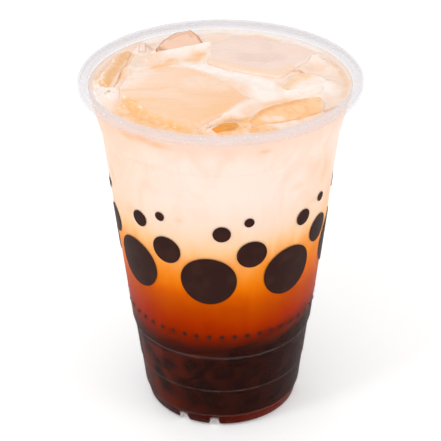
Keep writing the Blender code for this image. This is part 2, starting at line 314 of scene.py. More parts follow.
class Recipe:
    """A material whose nodes are laid out by short calls."""

    def __init__(self, name: str) -> None:
        """Starts an empty material of that name."""
        self.material = bpy.data.materials.new(name)
        self.material.use_nodes = True
        self.tree = self.material.node_tree
        self.tree.nodes.clear()
        self.output = self.tree.nodes.new("ShaderNodeOutputMaterial")

    def node(self, kind: str, **inputs: object) -> bpy.types.Node:
        """Adds a node.

        Args:
            kind: the node's type after "ShaderNode".
            **inputs: sockets by name, with _ for a space, as a number, a colour or a socket.

        Returns:
            The new node.
        """
        made = self.tree.nodes.new("ShaderNode" + kind)
        for name, value in inputs.items():
            self.put(value, made.inputs[name.replace("_", " ")])
        return made

    def put(self, value: object, socket: bpy.types.NodeSocket) -> None:
        """Links a socket to an input, or sets the input's own value."""
        if isinstance(value, bpy.types.NodeSocket):
            self.tree.links.new(value, socket)
        elif value is not None:
            socket.default_value = value

    def place(self) -> bpy.types.NodeSocket:
        """Returns the place on the object, in metres in the shared frame."""
        return self.node("TexCoord").outputs["Object"]

    def axis(self, name: str) -> bpy.types.NodeSocket:
        """Returns one coordinate of the place in millimetres."""
        parts = self.node("SeparateXYZ", Vector=self.place())
        return self.maths("MULTIPLY", parts.outputs[name], 1 / MM)

    def facing_up(self) -> bpy.types.NodeSocket:
        """Returns how far the surface faces up, from -1 to 1."""
        parts = self.node("SeparateXYZ", Vector=self.node("TexCoord").outputs["Normal"])
        return parts.outputs["Z"]

    def maths(self, operation: str, first: object, second: object = None) -> bpy.types.NodeSocket:
        """Adds a sum.

        Args:
            operation: Blender's name for it.
            first: a number or a socket.
            second: a number or a socket, where the sum takes two.

        Returns:
            The result's socket.
        """
        made = self.tree.nodes.new("ShaderNodeMath")
        made.operation = operation
        self.put(first, made.inputs[0])
        self.put(second, made.inputs[1])
        return made.outputs[0]

    def span(self, value: object, low: float, high: float, out: Pair = (0.0, 1.0)) -> bpy.types.NodeSocket:
        """Maps a range to another one, with smooth and clamped ends.

        Args:
            value: the socket to map.
            low: start of its range.
            high: end of its range.
            out: what the two ends become.

        Returns:
            The mapped value's socket.
        """
        made = self.node("MapRange", Value=value)
        made.interpolation_type = "SMOOTHSTEP"
        for name, number in zip(("From Min", "From Max", "To Min", "To Max"), (low, high, *out)):
            made.inputs[name].default_value = number
        return made.outputs[0]

    def clouds(self, size: float, detail: float = 3.0, stretch: tuple[float, float, float] = (1, 1, 1),
               warp: float = 0.0, seed: float = 0.0) -> bpy.types.NodeSocket:
        """Adds soft noise.

        Args:
            size: width of its patches in millimetres.
            detail: octaves of finer noise in it.
            stretch: how much faster it changes along each axis.
            warp: how far it is distorted.
            seed: moves the pattern, in millimetres.

        Returns:
            The noise, from 0 to 1.
        """
        moved = self.node("Mapping", Vector=self.place())
        moved.inputs["Scale"].default_value = stretch
        moved.inputs["Location"].default_value = (seed * MM, seed * 2 * MM, seed * 3 * MM)
        made = self.node("TexNoise", Vector=moved.outputs[0], Scale=1 / (size * MM), Detail=detail,
                         Distortion=warp)
        return made.outputs["Fac"]

    def blend(self, share: object, first: object, second: object) -> bpy.types.NodeSocket:
        """Mixes two colours.

        Args:
            share: how much of the second shows.
            first: a colour or a socket.
            second: a colour or a socket.

        Returns:
            The mixed colour's socket.
        """
        made = self.tree.nodes.new("ShaderNodeMix")
        made.data_type = "RGBA"
        for value, index in ((share, 0), (first, 6), (second, 7)):
            self.put(value, made.inputs[index])
        return made.outputs[2]

    def ramp(self, value: object, stops: Sequence[tuple[float, str]]) -> bpy.types.NodeSocket:
        """Reads a colour off a scale.

        Args:
            value: the place on the scale, in the same unit as the stops.
            stops: (place, colour code) in rising order.

        Returns:
            The colour's socket.
        """
        low, high = stops[0][0], stops[-1][0]
        share = self.maths("DIVIDE", self.maths("SUBTRACT", value, low), high - low)
        made = self.node("ValToRGB", Fac=share)
        scale = made.color_ramp
        while len(scale.elements) < len(stops):
            scale.elements.new(0.5)
        for element, (stop, code) in zip(scale.elements, stops):
            element.position = (stop - low) / (high - low)
            element.color = linear(code)
        return made.outputs["Color"]

    def reading(self, name: str) -> bpy.types.NodeSocket:
        """Returns the number that mark() stored under a name."""
        made = self.node("Attribute")
        made.attribute_name = name
        return made.outputs["Fac"]

    def brushed(self, colour: object, codes: Sequence[str], size: float = 2.6) -> bpy.types.NodeSocket:
        """Lays painted tints over a colour, unevenly.

        Args:
            colour: the colour below.
            codes: a colour code for each Tint in turn.
            size: width of the uneven patches in millimetres.

        Returns:
            The colour's socket.
        """
        uneven = self.span(self.clouds(size, 4.0, seed=6.0), 0.3, 0.62, (0.55, 1.0))
        for tint, code in zip(Tint, codes):
            amount = self.maths("MULTIPLY", self.reading(tint.value), uneven)
            colour = self.blend(amount, colour, linear(code))
        return colour

    def relief(self, height: object, depth: float) -> bpy.types.NodeSocket:
        """Adds a bump.

        Args:
            height: its height from 0 to 1.
            depth: how deep the full range is, in millimetres.

        Returns:
            The bumped normal's socket.
        """
        return self.node("Bump", Height=height, Distance=depth * MM, Strength=1.0).outputs[0]

    def mixed(self, share: object, first: object, second: object) -> bpy.types.NodeSocket:
        """Mixes two shaders and returns the result's socket."""
        made = self.tree.nodes.new("ShaderNodeMixShader")
        for value, index in ((share, 0), (first, 1), (second, 2)):
            self.put(value, made.inputs[index])
        return made.outputs[0]

    def gloss_share(self, head_on: float, edge: float, power: float = 3.0) -> bpy.types.NodeSocket:
        """Returns the mirrored share of a thin clear sheet, which rises towards its edges.

        Args:
            head_on: the share where the sheet is seen straight on.
            edge: the share that is added where it is seen edge on.
            power: how late the share rises.

        Returns:
            The share's socket.
        """
        facing = self.node("LayerWeight", Blend=0.5).outputs["Facing"]
        rising = self.maths("MULTIPLY", self.maths("POWER", facing, power), edge)
        return self.maths("ADD", rising, head_on)

    def finished(self, surface: bpy.types.NodeSocket) -> bpy.types.Material:
        """Connects the surface and returns the material."""
        self.tree.links.new(surface, self.output.inputs["Surface"])
        return self.material

    def coated(self, colour: object, roughness: float, gloss: float,
               normal: object = None) -> bpy.types.Material:
        """Finishes the material as an opaque surface.

        Args:
            colour: its colour.
            roughness: how blurred its reflections are.
            gloss: how strong they are.
            normal: its bumped normal.

        Returns:
            The material.
        """
        shader = self.node("BsdfPrincipled", Base_Color=colour, Roughness=roughness, Normal=normal,
                           Specular_IOR_Level=gloss)
        return self.finished(shader.outputs[0])

    def glossed(self, body: object, roughness: float, *share: float) -> bpy.types.Material:
        """Finishes the material as a clear sheet.

        Args:
            body: the shader under its reflections.
            roughness: how blurred they are.
            *share: what gloss_share() takes.

        Returns:
            The material.
        """
        shine = self.node("BsdfAnisotropic", Color=WHITE, Roughness=roughness)
        return self.finished(self.mixed(self.gloss_share(*share), body, shine.outputs[0]))


@dataclass(frozen=True)
class CupForm:
    """The cup's sizes in millimetres, which the other pieces fit."""

    height: float = 126.0
    sheet: float = 0.7
    rim_radius: float = 47.5
    rim_drop: float = 2.8
    rim_round: float = 1.2
    lip_round: float = 0.7
    wall: tuple[Pair, ...] = (
        (44.3, 123.2), (40.95, 109.2), (40.55, 108.7), (32.55, 33.6), (31.95, 33.0),
        (30.25, 17.8), (29.95, 17.5), (28.7, 5.8), (28.25, 5.3), (27.3, 1.0),
    )  # (radius, height) of the outer face
    foot_flat: Pair = (24.7, 26.5)
    groove_radius: float = 25.0
    floor_height: float = 6.3
    floor_dome: float = 0.5
    corner_reach: float = 0.55
    notch_pairs: tuple[float, ...] = (-18.0, 102.0, 222.0)
    notch_spread: float = 24.0
    notch_half_width: float = 1.7
    notch_height: float = 2.9
    level: float = 122.8
    bed_height: float = 36.7
    bed_tilt: float = 13.2

    def smooth_wall(self) -> list[Pair]:
        """Returns the outer face's section with its corners rounded."""
        return eased_corners(self.wall, self.corner_reach)

    def outer_radius(self, height: np.ndarray | float) -> np.ndarray:
        """Returns the radius of the outer face at each height."""
        radii, heights = np.array(self.smooth_wall()[::-1]).T
        return np.interp(height, heights, radii)

    def inner_radius(self, height: np.ndarray | float) -> np.ndarray:
        """Returns the radius of the inner face at each height."""
        return self.outer_radius(height) - self.sheet

    def bed_top(self, x: np.ndarray | float) -> np.ndarray | float:
        """Returns the height of the pearl bed's top across the cup."""
        return self.bed_height + x * math.tan(math.radians(self.bed_tilt))

    def bed_edge(self, angles: np.ndarray) -> np.ndarray:
        """Returns the height at which the bed's top meets the wall in each direction.

        Args:
            angles: directions round the cup.

        Returns:
            The heights, each found in a few rounds because the wall leans.
        """
        height = np.full(angles.shape, self.bed_height)
        for _ in range(4):
            height = self.bed_top(self.inner_radius(height) * np.sin(angles))
        return height

    def wall_rows(self, angles: np.ndarray, top: np.ndarray, bottom: np.ndarray | float, count: int,
                  bite: float) -> np.ndarray:
        """Lists the points of a surface that follows the wall.

        Args:
            angles: directions round the cup.
            top: height of its top in each direction.
            bottom: height of its bottom.
            count: how many rows it has.
            bite: how far it reaches into the wall.

        Returns:
            Points by row and direction.
        """
        heights = [top + (bottom - top) * share for share in np.linspace(0, 1, count)]
        return np.array([ring(self.inner_radius(height) + bite, angles, height) for height in heights])

    def notch_angles(self) -> Iterator[float]:
        """Yields the direction of each notch in the foot, in radians."""
        for pair in self.notch_pairs:
            for side in (-0.5, 0.5):
                yield math.radians(pair + side * self.notch_spread)

    def directions(self, sides: int, at_notches: int = 0) -> np.ndarray:
        """Lists directions round the cup.

        Args:
            sides: how many are spread evenly.
            at_notches: how many more stand closely round each notch.

        Returns:
            The directions in radians, in rising order.
        """
        angles = list(np.linspace(-math.pi, math.pi, sides, endpoint=False))
        reach = self.notch_half_width / self.foot_flat[0]
        for notch in self.notch_angles():
            for i in range(at_notches):
                swing = math.sin(math.pi * (i / (at_notches - 1) - 0.5)) * reach
                angles.append((notch + swing + math.pi) % (2 * math.pi) - math.pi)
        return np.unique(np.round(angles, 5))

    def over_notches(self, grid: np.ndarray, room: float) -> np.ndarray:
        """Lifts the points of a grid that would lie in a notch.

        Args:
            grid: points in the foot.
            room: thickness that stays over the notch.

        Returns:
            The points, none of them in a notch.
        """
        lifted = grid.copy()
        for notch in self.notch_angles():
            outward = grid[..., 0] * math.sin(notch) - grid[..., 1] * math.cos(notch)
            across = grid[..., 0] * math.cos(notch) + grid[..., 1] * math.sin(notch)
            share = 1 - (across / (self.notch_half_width + room)) ** 2
            arch = (self.notch_height + room) * np.sqrt(np.clip(share, 0, None))
            arch[outward < 0] = 0
            lifted[..., 2] = np.maximum(lifted[..., 2], arch)
        return lifted


@dataclass(frozen=True)
class ClearPlastic:
    """Thin clear plastic, hazy at the rim and along its moulded rings."""

    tint: str = "FDFDFD"
    rim_tint: str = "F3F4F7"
    haze: str = "F8F4F3"
    # painted light: the rim's front is tinted warmer and brighter than the rest, standing in for light from
    # the milk below it
    front_milk_light_tint: str = "F8F5F6"  # the rim's front takes on the warmth of the milk below it
    front_milk_light_haze: str = "FBF4F1"
    front_milk_light_range: Pair = (-14.0, -36.0)
    rim_haze: float = 0.4
    neck_haze: float = 0.08
    gloss_roughness: float = 0.09
    rings: tuple[tuple[float, float, float], ...] = (
        (109.0, 0.5, 0.2), (33.3, 0.85, 0.06), (17.65, 0.35, 0.12), (5.6, 0.5, 0.09),
    )  # (height, half width, haze)

    def make(self, form: CupForm) -> bpy.types.Material:
        """Makes the material.

        Args:
            form: the cup's sizes.

        Returns:
            The material.
        """
        sheet = Recipe("clear_plastic")
        height = sheet.axis("Z")
        neck = form.wall[0][1]
        haze = sheet.span(height, neck - 1.0, neck + 1.6, (0.0, self.rim_haze))
        neck_part = sheet.span(height, neck - 6.0, neck, (0.0, self.neck_haze))
        haze = sheet.maths("MAXIMUM", haze, neck_part)
        for middle, half_width, amount in self.rings:
            off = sheet.maths("ABSOLUTE", sheet.maths("SUBTRACT", height, middle))
            haze = sheet.maths("MAXIMUM", haze, sheet.span(off, half_width, 0.0, (0.0, amount)))
        haze = sheet.maths("MAXIMUM", haze, sheet.reading("milky"))
        smears = sheet.clouds(9.0, 4.0, seed=3.0)
        haze = sheet.maths("MULTIPLY", haze, sheet.span(smears, 0.2, 0.8, (0.8, 1.15)))
        at_rim = sheet.span(height, neck - 0.5, neck + 1.0)
        # painted light: blends the rim towards its warmer, brighter front tints
        front = sheet.span(sheet.axis("Y"), *self.front_milk_light_range)
        rim_tint = sheet.blend(front, linear(self.rim_tint), linear(self.front_milk_light_tint))
        tint = sheet.blend(at_rim, linear(self.tint), rim_tint)
        clear = sheet.node("BsdfTransparent", Color=tint)
        grains = sheet.relief(sheet.clouds(2.6, 2.0), 0.006)
        haze_tint = sheet.blend(front, linear(self.haze), linear(self.front_milk_light_haze))
        cloudy = sheet.node("BsdfDiffuse", Color=haze_tint, Normal=grains)
        through = sheet.node("BsdfTranslucent", Color=haze_tint)
        milky = sheet.mixed(0.35, cloudy.outputs[0], through.outputs[0])
        body = sheet.mixed(haze, clear.outputs[0], milky)
        return sheet.glossed(body, self.gloss_roughness, 0.001, 0.17, 4.0)


@dataclass
class Cup:
    """The clear cup with its rolled rim and the air notches in its foot."""

    form: CupForm
    finish: ClearPlastic = field(default_factory=ClearPlastic)
    sides: int = 300
    at_notches: int = 17
    notch_milkiness: float = 0.8

    def inner_section(self) -> list[Pair]:
        """Returns the section of the inside: floor, groove and wall."""
        form, sheet = self.form, self.form.sheet
        top = form.floor_height + sheet
        floor = [
            (0.0, top + form.floor_dome), (form.groove_radius * 0.25, top + form.floor_dome * 0.94),
            (form.groove_radius * 0.5, top + form.floor_dome * 0.75),
            (form.groove_radius * 0.75, top + form.floor_dome * 0.44),
            (form.groove_radius - sheet, top), (form.groove_radius, top - sheet),
            (form.groove_radius, sheet * 1.5), (form.groove_radius + sheet / 2, sheet),
            (form.wall[-1][0] - sheet * 1.5, sheet),
        ]
        wall = [(radius - sheet, height) for radius, height in reversed(form.smooth_wall())]
        return floor + wall

    def outer_section(self) -> list[Pair]:
        """Returns the section of the rim, the outer face and the underside."""
        form, sheet = self.form, self.form.sheet
        lip = (form.wall[0][0] - sheet + 0.5 + form.lip_round, form.height - form.lip_round)
        roll = (form.rim_radius - form.rim_round, form.height - form.rim_round)
        edge = (form.rim_radius - sheet / 2, form.height - form.rim_drop + sheet / 2)
        rim = (
            arc(lip, form.lip_round, 180, 90, 6) + arc(roll, form.rim_round, 90, 0, 9)
            + arc(edge, sheet / 2, 0, -180, 6) + arc(roll, form.rim_round - sheet, 0, 90, 4)
            + [(lip[0] + sheet, form.height - sheet), (lip[0], form.height - form.rim_round)]
        )
        leg = form.groove_radius - sheet
        underside = [
            (form.foot_flat[1], 0.0), (form.foot_flat[0] + 0.6, 0.0), (form.foot_flat[0], 0.0),
            (leg, sheet / 2), (leg, 1.6), (leg, form.floor_height - sheet),
            (leg - sheet, form.floor_height),
            (form.groove_radius * 0.5, form.floor_height + form.floor_dome * 0.75),
            (0.0, form.floor_height + form.floor_dome),
        ]
        return rim + form.smooth_wall() + underside

    def build(self) -> bpy.types.Object:
        """Returns:
            The cup.
        """
        form = self.form
        angles = form.directions(self.sides, self.at_notches)
        inside = np.array(self.inner_section())
        outside = np.array(self.outer_section())
        inner = form.over_notches(turned_grid(inside[1:], angles), form.sheet)
        raw = turned_grid(outside[:-1], angles)
        outer = form.over_notches(raw, 0.0)
        grid = np.vstack([inner, outer])
        shell = Shell.from_grid(grid, (0, 0, inside[0, 1]), (0, 0, outside[-1, 1]))
        cup = shell.to_object("clear_cup", self.finish.make(form), 32.0)
        lifted = (outer[..., 2] - raw[..., 2] > 0.02).astype(float)
        milky = np.concatenate([np.zeros(inner[..., 0].size), lifted.ravel(), [0.0, 0.0]])
        mark(cup, "milky", milky * self.notch_milkiness)
        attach(cup, BODY)
        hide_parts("cup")
        return cup


@dataclass(frozen=True)
class Swell:
    """A ridge or lump on the drink's surface, from one place to another."""

    start: Pair
    end: Pair
    half_width: float
    rise: float

    def heights(self, x: np.ndarray, y: np.ndarray) -> np.ndarray:
        """Returns how far the swell lifts the surface at each place."""
        off, _ = off_line(x, y, self.start, self.end)
        return self.rise * np.exp(-((off / self.half_width) ** 2))


@dataclass(frozen=True)
class Stain:
    """A soft patch on the drink's side, where tea shows in the milk."""

    angle: float
    height: float
    half_width: float
    half_height: float
    strength: float

    def strengths(self, angle: np.ndarray, height: np.ndarray, radius: np.ndarray) -> np.ndarray:
        """Returns the patch's strength at each place."""
        turn = (angle - math.radians(self.angle) + math.pi) % (2 * math.pi) - math.pi
        across = turn * radius / self.half_width
        up = (height - self.height) / self.half_height
        return self.strength * np.exp(-(across**2) - up**2)


class Tint(Enum):
    """The colours that a brush lays, each stored under its own name."""

    AMBER = "amber"
    CREAM = "cream"
    BROWN = "brown"


@dataclass(frozen=True)
class Brush:
    """A soft stroke of colour along a path across the drink's top."""

    tint: Tint
    path: tuple[Pair, ...]
    half_width: float
    strength: float = 1.0

    def strengths(self, x: np.ndarray, y: np.ndarray) -> np.ndarray:
        """Returns the stroke's strength at each place."""
        nearest = np.min([off_line(x, y, *ends)[0] for ends in zip(self.path, self.path[1:])], axis=0)
        return self.strength * eased_step(*STROKE_EDGE, nearest / self.half_width)


SHOULDER = Brush(
    Tint.AMBER,
    ((-30.0, -20.0), (-28.8, -24.4), (-25.4, -28.8), (-20.0, -33.6), (-14.0, -37.3), (-7.0, -38.8)),
    4.4, 0.9,
)


def painted(made: bpy.types.Object, points: np.ndarray, brushes: Sequence[Brush]) -> None:
    """Stores the strength of every tint on an object's vertices.

    Args:
        made: the object.
        points: its vertices in millimetres.
        brushes: the strokes that it gets.
    """
    for tint in Tint:
        amount = np.zeros(len(points))
        for brush in brushes:
            if brush.tint is tint:
                amount = np.maximum(amount, brush.strengths(points[:, 0], points[:, 1]))
        mark(made, tint.value, amount)


@dataclass(frozen=True)
class DrinkColours:
    """The colours of the layers, by height in millimetres."""

    # The stops from 112 mm up darken towards the rim: painted shade under the rim.
    layers: tuple[tuple[float, str], ...] = (
        (30.0, "32110C"), (36.0, "5A1803"), (42.0, "8A1F00"), (47.0, "A62B00"), (55.0, "BA4600"),
        (60.0, "D25900"), (65.0, "E97604"), (70.0, "F38E28"), (75.0, "FAA658"), (79.0, "FFC58B"),
        (83.0, "FAD3AF"), (89.0, "FFDEC8"), (99.0, "FFE6D8"), (112.0, "FFE7D9"),
        (118.0, "FDDDCA"), (123.0, "FDDBC5"),
    )
    marbling: str = "FAD5BE"
    dark_tea_and_shade: str = "2A1210"
    stain: str = "FDBE88"
    cream: str = "FEEADB"
    peach: str = "FBD9C1"
    # painted light: the milk's surface along the front of the wall is kept pale, lifting the shade under
    # the rim
    wall_band_light: str = "FFE9DA"
    amber: str = "FCBF7A"
    white: str = "FFF4EC"
    brown: str = "E5B48F"

    def side(self) -> bpy.types.Material:
        """Returns the finish of the layers against the wall."""
        mix = Recipe("tea_under_milk")
        sway = mix.span(mix.clouds(26.0, 3.0, (1, 1, 0.6), 0.6), 0.2, 0.8, (-2.4, 2.4))
        streaks = mix.span(mix.clouds(7.0, 4.0, (1, 1, 0.35), 1.2, 5.0), 0.25, 0.75, (-1.3, 1.3))
        height = mix.maths("ADD", mix.axis("Z"), mix.maths("ADD", sway, streaks))
        colour = mix.ramp(height, self.layers)
        veins = mix.span(mix.clouds(13.0, 4.0, (1, 1, 0.6), 1.6, 21.0), 0.42, 0.7, (0.0, 0.5))
        in_milk = mix.span(mix.axis("Z"), 82.0, 92.0)
        colour = mix.blend(mix.maths("MULTIPLY", veins, in_milk), colour, linear(self.marbling))
        # partly painted shade: darkens the tea over the pearl bed and between the pearls, beside the
        # syrup's own dark tint
        colour = mix.blend(mix.reading("dark_tea_and_shade"), colour, linear(self.dark_tea_and_shade))
        colour = mix.blend(mix.reading("stain"), colour, linear(self.stain))
        return mix.coated(colour, 0.9, 0.0)

    def surface(self) -> bpy.types.Material:
        """Returns the finish of the milk's open surface."""
        mix = Recipe("milk_surface")
        swirls = mix.span(mix.clouds(11.0, 4.0, (1, 1, 1), 1.4, 9.0), 0.3, 0.72)
        colour = mix.blend(swirls, linear(self.cream), linear(self.peach))
        # painted light: the pale band along the front of the wall
        colour = mix.blend(mix.reading("wall_band_light"), colour, linear(self.wall_band_light))
        colour = mix.brushed(colour, (self.amber, self.white, self.brown))
        return mix.coated(colour, 0.28, 0.4, mix.relief(mix.clouds(2.2, 3.0), 0.12))


@dataclass
class Drink:
    """Tea under milk: one body of drink that fills the cup over the pearls."""

    form: CupForm
    pearls: Sequence[tuple[float, float, float]]
    pearl_radius: float
    shores: np.ndarray  # start and end of each edge of ice that the milk climbs
    colours: DrinkColours = field(default_factory=DrinkColours)
    creep_share: float = 0.55
    creep_width: float = 1.8
    sides: int = 360
    rings: int = 84
    rows: int = 120
    bite: float = 0.42  # how far the drink reaches into the wall
    meniscus: Pair = (0.35, 0.9)  # rise at the wall and how far it reaches
    ripples: tuple[Pair, Pair] = ((6.0, 0.3), (2.3, 0.12))  # size and height of the coarse and fine ones
    calm: float = 3.0  # width along the wall in which the ripples fade
    room: float = 0.4  # how far the surface stays under the top of the rim
    crowding: float = 0.85  # how much more closely the rows of the surface lie towards the wall
    under_share: float = 0.6
    gloom_lean: float = 0.1  # how much more slowly than the bed the dark part rises to the right
    gloom_depth: float = 0.96
    gloom_range: Pair = (8.5, -2.5)  # over the bed's top, from clear to dark
    shadow_depth: float = 0.93
    shadow_range: Pair = (1.75, 1.1)  # from a pearl's middle in radii, from clear to dark
    shadow_rise: float = 0.6
    wall_band_light_reach: Pair = (2.4, 0.3)  # inwards from the wall
    wall_band_light_back: Pair = (34.0, 18.0)  # places between which it ends towards the back
    swells: tuple[Swell, ...] = (
        Swell((-22.0, 19.0), (-4.4, 27.6), 2.4, 2.6),
        Swell((-28.8, 19.5), (-31.4, 5.0), 1.5, 1.9),
        Swell((-31.8, 5.0), (-34.6, -9.0), 1.5, 1.8),
        Swell((-39.0, -6.6), (-36.0, -10.4), 1.8, 2.0),
        Swell((-6.5, 8.4), (17.5, -3.4), 2.2, 2.0),
        Swell((26.0, 7.0), (32.6, 16.5), 1.9, 1.6),
        Swell((0.5, -39.6), (7.4, -36.8), 1.8, 1.2),
        Swell((-37.6, -11.5), (-35.4, -15.5), 2.4, 1.9),
        Swell((-33.5, -10.5), (-34.0, -12.5), 1.5, 1.5),
        Swell((24.5, -9.6), (36.5, -3.0), 3.2, 1.7),
        Swell((9.6, -17.0), (2.0, -27.0), 2.8, 2.0),
        Swell((-31.0, -27.0), (-20.0, -35.2), 2.6, 1.0),
        Swell((28.0, 22.5), (36.0, 12.0), 2.2, 1.3),
        Swell((-14.5, 11.6), (5.5, -5.5), 4.2, 2.3),
        Swell((6.0, -3.0), (15.5, -9.5), 3.6, 1.4),
        Swell((-31.0, 6.5), (-17.0, 12.5), 2.6, 1.9),
    )
    strokes: tuple[Brush, ...] = (SHOULDER,) + tuple(Brush(tint, *row) for tint, rows in (
        (Tint.AMBER, (
            (((1.3, -39.4), (7.7, -35.5), (15.8, -35.6)), 2.8),
            (((5.6, -33.2), (8.4, -29.6)), 3.0),
            (((0.5, -31.4), (4.9, -29.6), (9.2, -28.0)), 2.1),
            (((-21.0, 8.0), (-16.2, 11.0), (-12.2, 14.6), (-9.4, 18.0), (-7.6, 21.6)), 2.8, 0.75),
            (((9.0, -31.4), (11.8, -25.4), (17.4, -20.4), (24.6, -16.8)), 1.5, 0.8),
            (((7.6, -24.4), (10.2, -20.6), (16.4, -16.0), (24.0, -13.2), (30.0, -12.6)), 1.3, 0.7),
            (((-29.6, 21.0), (-31.4, 10.0), (-34.0, -2.0)), 1.4, 0.65),
            (((-40.9, -1.0), (-40.9, 5.0), (-37.8, 15.0), (-34.0, 22.8)), 1.3, 0.6),
            (((37.1, 16.1), (40.3, 9.5), (42.1, -0.6), (40.2, -11.5)), 1.1, 0.35),
            (((-38.6, -6.5), (-36.0, -11.0)), 1.2, 0.5),
        )),
        (Tint.CREAM, (
            (((-17.5, 22.0), (-4.4, 28.2)), 3.0),
            (((-9.0, 11.5), (-5.1, 8.0), (1.6, 3.9), (8.3, -0.2), (12.9, -3.6), (15.0, -9.6)), 5.0),
            (((25.5, -9.5), (33.0, -5.4)), 5.0),
            (((-26.0, 34.5), (-14.0, 40.9), (0.0, 43.4), (14.0, 40.9), (26.0, 34.5), (35.0, 25.4)), 1.9),
            (((-40.0, -8.5), (-37.5, -11.0), (-36.2, -12.6)), 3.4, 0.9),
            (((4.5, -24.5), (10.5, -18.5)), 3.0, 0.5),
            (((-29.2, 23.2), (-29.0, 2.2), (-32.2, -6.5)), 2.2, 0.4),
            (((31.0, 15.4), (33.5, 18.8), (35.2, 15.0)), 2.6, 0.7),
        )),
        (Tint.BROWN, (
            (((23.7, 6.2), (26.9, 6.0), (30.4, 4.9), (33.9, 2.4), (37.2, -0.8)), 0.6),
            (((32.9, -22.9), (35.3, -21.0), (37.6, -18.9)), 0.6, 0.9),
            (((-24.0, 26.5), (-25.4, 28.5)), 1.0, 0.8),
            (((-3.6, -33.2), (1.8, -30.4), (6.4, -28.6)), 0.7, 0.95),
        )),
    ) for row in rows)
    stains: tuple[Stain, ...] = tuple(Stain(*row) for row in (
        (-43.0, 119.6, 4.5, 1.9, 0.7), (-35.0, 120.2, 4.0, 1.3, 0.8), (-28.0, 119.3, 4.0, 1.2, 0.75),
        (19.0, 118.0, 1.8, 0.7, 0.8), (40.0, 100.0, 3.0, 1.6, 0.3), (54.0, 91.0, 5.0, 2.0, 0.45),
        (70.0, 88.0, 3.6, 8.0, 0.5), (66.0, 99.0, 2.4, 9.0, 0.35), (60.0, 99.5, 4.5, 5.5, 0.55),
        (56.0, 101.0, 9.0, 12.0, 0.28), (-62.0, 106.0, 18.0, 16.0, 0.3), (-21.0, 90.6, 1.6, 1.0, 0.4),
        (-68.0, 97.0, 3.0, 6.0, 0.55), (-52.0, 88.0, 3.4, 3.0, 0.4), (140.0, 116.0, 8.0, 2.6, 0.6),
        (200.0, 95.0, 3.0, 8.0, 0.4), (118.0, 92.0, 4.0, 5.0, 0.4),
    ))

    def creep(self, x: np.ndarray, y: np.ndarray) -> np.ndarray:
        """Returns how far the milk climbs up the ice at each place."""
        best = np.zeros(x.shape)
        for start, end in self.shores:
            off, share = off_line(x, y, start, end)
            rise = start[2] + share * (end[2] - start[2]) - self.form.level
            best = np.maximum(best, self.creep_share * rise * np.exp(-((off / self.creep_width) ** 2)))
        return best

    def surface_height(self, x: np.ndarray, y: np.ndarray) -> np.ndarray:
        """Returns the height of the drink's open surface at each place.

        Args:
            x: places across the cup.
            y: places from front to back.

        Returns:
            The heights over the table.
        """
        x, y = np.atleast_1d(x).astype(float), np.atleast_1d(y).astype(float)
        edge = float(self.form.inner_radius(self.form.level))
        height = np.full(x.shape, self.form.level)
        rise, width = self.meniscus
        height += rise * np.exp(-np.clip(edge - np.hypot(x, y), 0, None) / width)
        lift = sum(swell.heights(x, y) for swell in self.swells)
        height += np.maximum(lift, self.creep(x, y))
        rippled = np.zeros(x.shape)
        for (size, high), seed in zip(self.ripples, (2.0, 7.0)):
            waves = [noise.noise(Vector((a / size, b / size, seed))) for a, b in zip(x.flat, y.flat)]
            rippled = rippled + np.reshape(waves, x.shape) * high
        off_wall = eased_step(edge, edge - self.calm, np.hypot(x, y))
        return np.minimum(height + rippled * off_wall, self.form.height - self.room)

    def dark_tea_and_shade(self, points: np.ndarray) -> np.ndarray:
        """Returns how dark the drink is at each point, over and between the pearls: partly tea darkened by
        the syrup and partly painted shade.
        """
        over = points[..., 2] - self.form.bed_top(points[..., 0]) + self.gloom_lean * points[..., 0]
        dark = self.gloom_depth * eased_step(*self.gloom_range, over)
        for x, y, height in self.pearls:
            if self.form.bed_top(x) - height > 3 * self.pearl_radius:
                continue
            off = np.linalg.norm(points - (x, y, height + self.shadow_rise), axis=-1) / self.pearl_radius
            dark = np.maximum(dark, self.shadow_depth * eased_step(*self.shadow_range, off))
        return dark

    def build(self) -> bpy.types.Object:
        """Returns:
            The drink.
        """
        form = self.form
        angles = form.directions(self.sides)
        edge = float(form.inner_radius(form.level)) + self.bite
        radii = edge * np.linspace(0, 1, self.rings + 1)[1:] ** self.crowding
        top = turned_grid(np.stack([radii, radii * 0], -1), angles)
        top[..., 2] = self.surface_height(top[..., 0], top[..., 1])
        side = form.wall_rows(angles, top[-1, :, 2], form.bed_edge(angles), self.rows, self.bite)
        top = top[:-1]
        under = side[-1] * np.array([self.under_share, self.under_share, 1.0])
        under[:, 2] = form.bed_top(under[:, 0])
        grid = np.vstack([top, side, under[None]])
        middle = (0.0, 0.0, float(self.surface_height(0.0, 0.0)[0]))
        shell = Shell.from_grid(grid, middle, (0.0, 0.0, form.bed_height))
        drink = shell.to_object("drink", self.colours.side(), 60.0)
        drink.data.materials.append(self.colours.surface())
        open_points = top.shape[0] * top.shape[1]
        for face in drink.data.polygons:
            if all(i < open_points + self.sides or i == len(shell.points) - 2 for i in face.vertices):
                face.material_index = 1
        self.shade(drink, shell.points, open_points)
        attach(drink, BODY)
        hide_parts("milk", "tea")
        return drink

    def shade(self, drink: bpy.types.Object, points: np.ndarray, open_points: int) -> None:
        """Stores the numbers that the drink's finishes read.

        Args:
            drink: the drink.
            points: its points in millimetres.
            open_points: how many of them are on the open surface.
        """
        radius = np.hypot(points[:, 0], points[:, 1])
        angle = np.arctan2(points[:, 0], -points[:, 1])
        is_open = np.zeros(len(points), bool)
        is_open[:open_points] = True
        stain = np.zeros(len(points))
        for patch in self.stains:
            stain = np.maximum(stain, patch.strengths(angle, points[:, 2], radius))
        stain[is_open] = 0
        edge = float(self.form.inner_radius(self.form.level))
        inner, outer = (edge - inward for inward in self.wall_band_light_reach)
        in_front = eased_step(*self.wall_band_light_back, points[:, 1])
        mark(drink, "stain", stain)
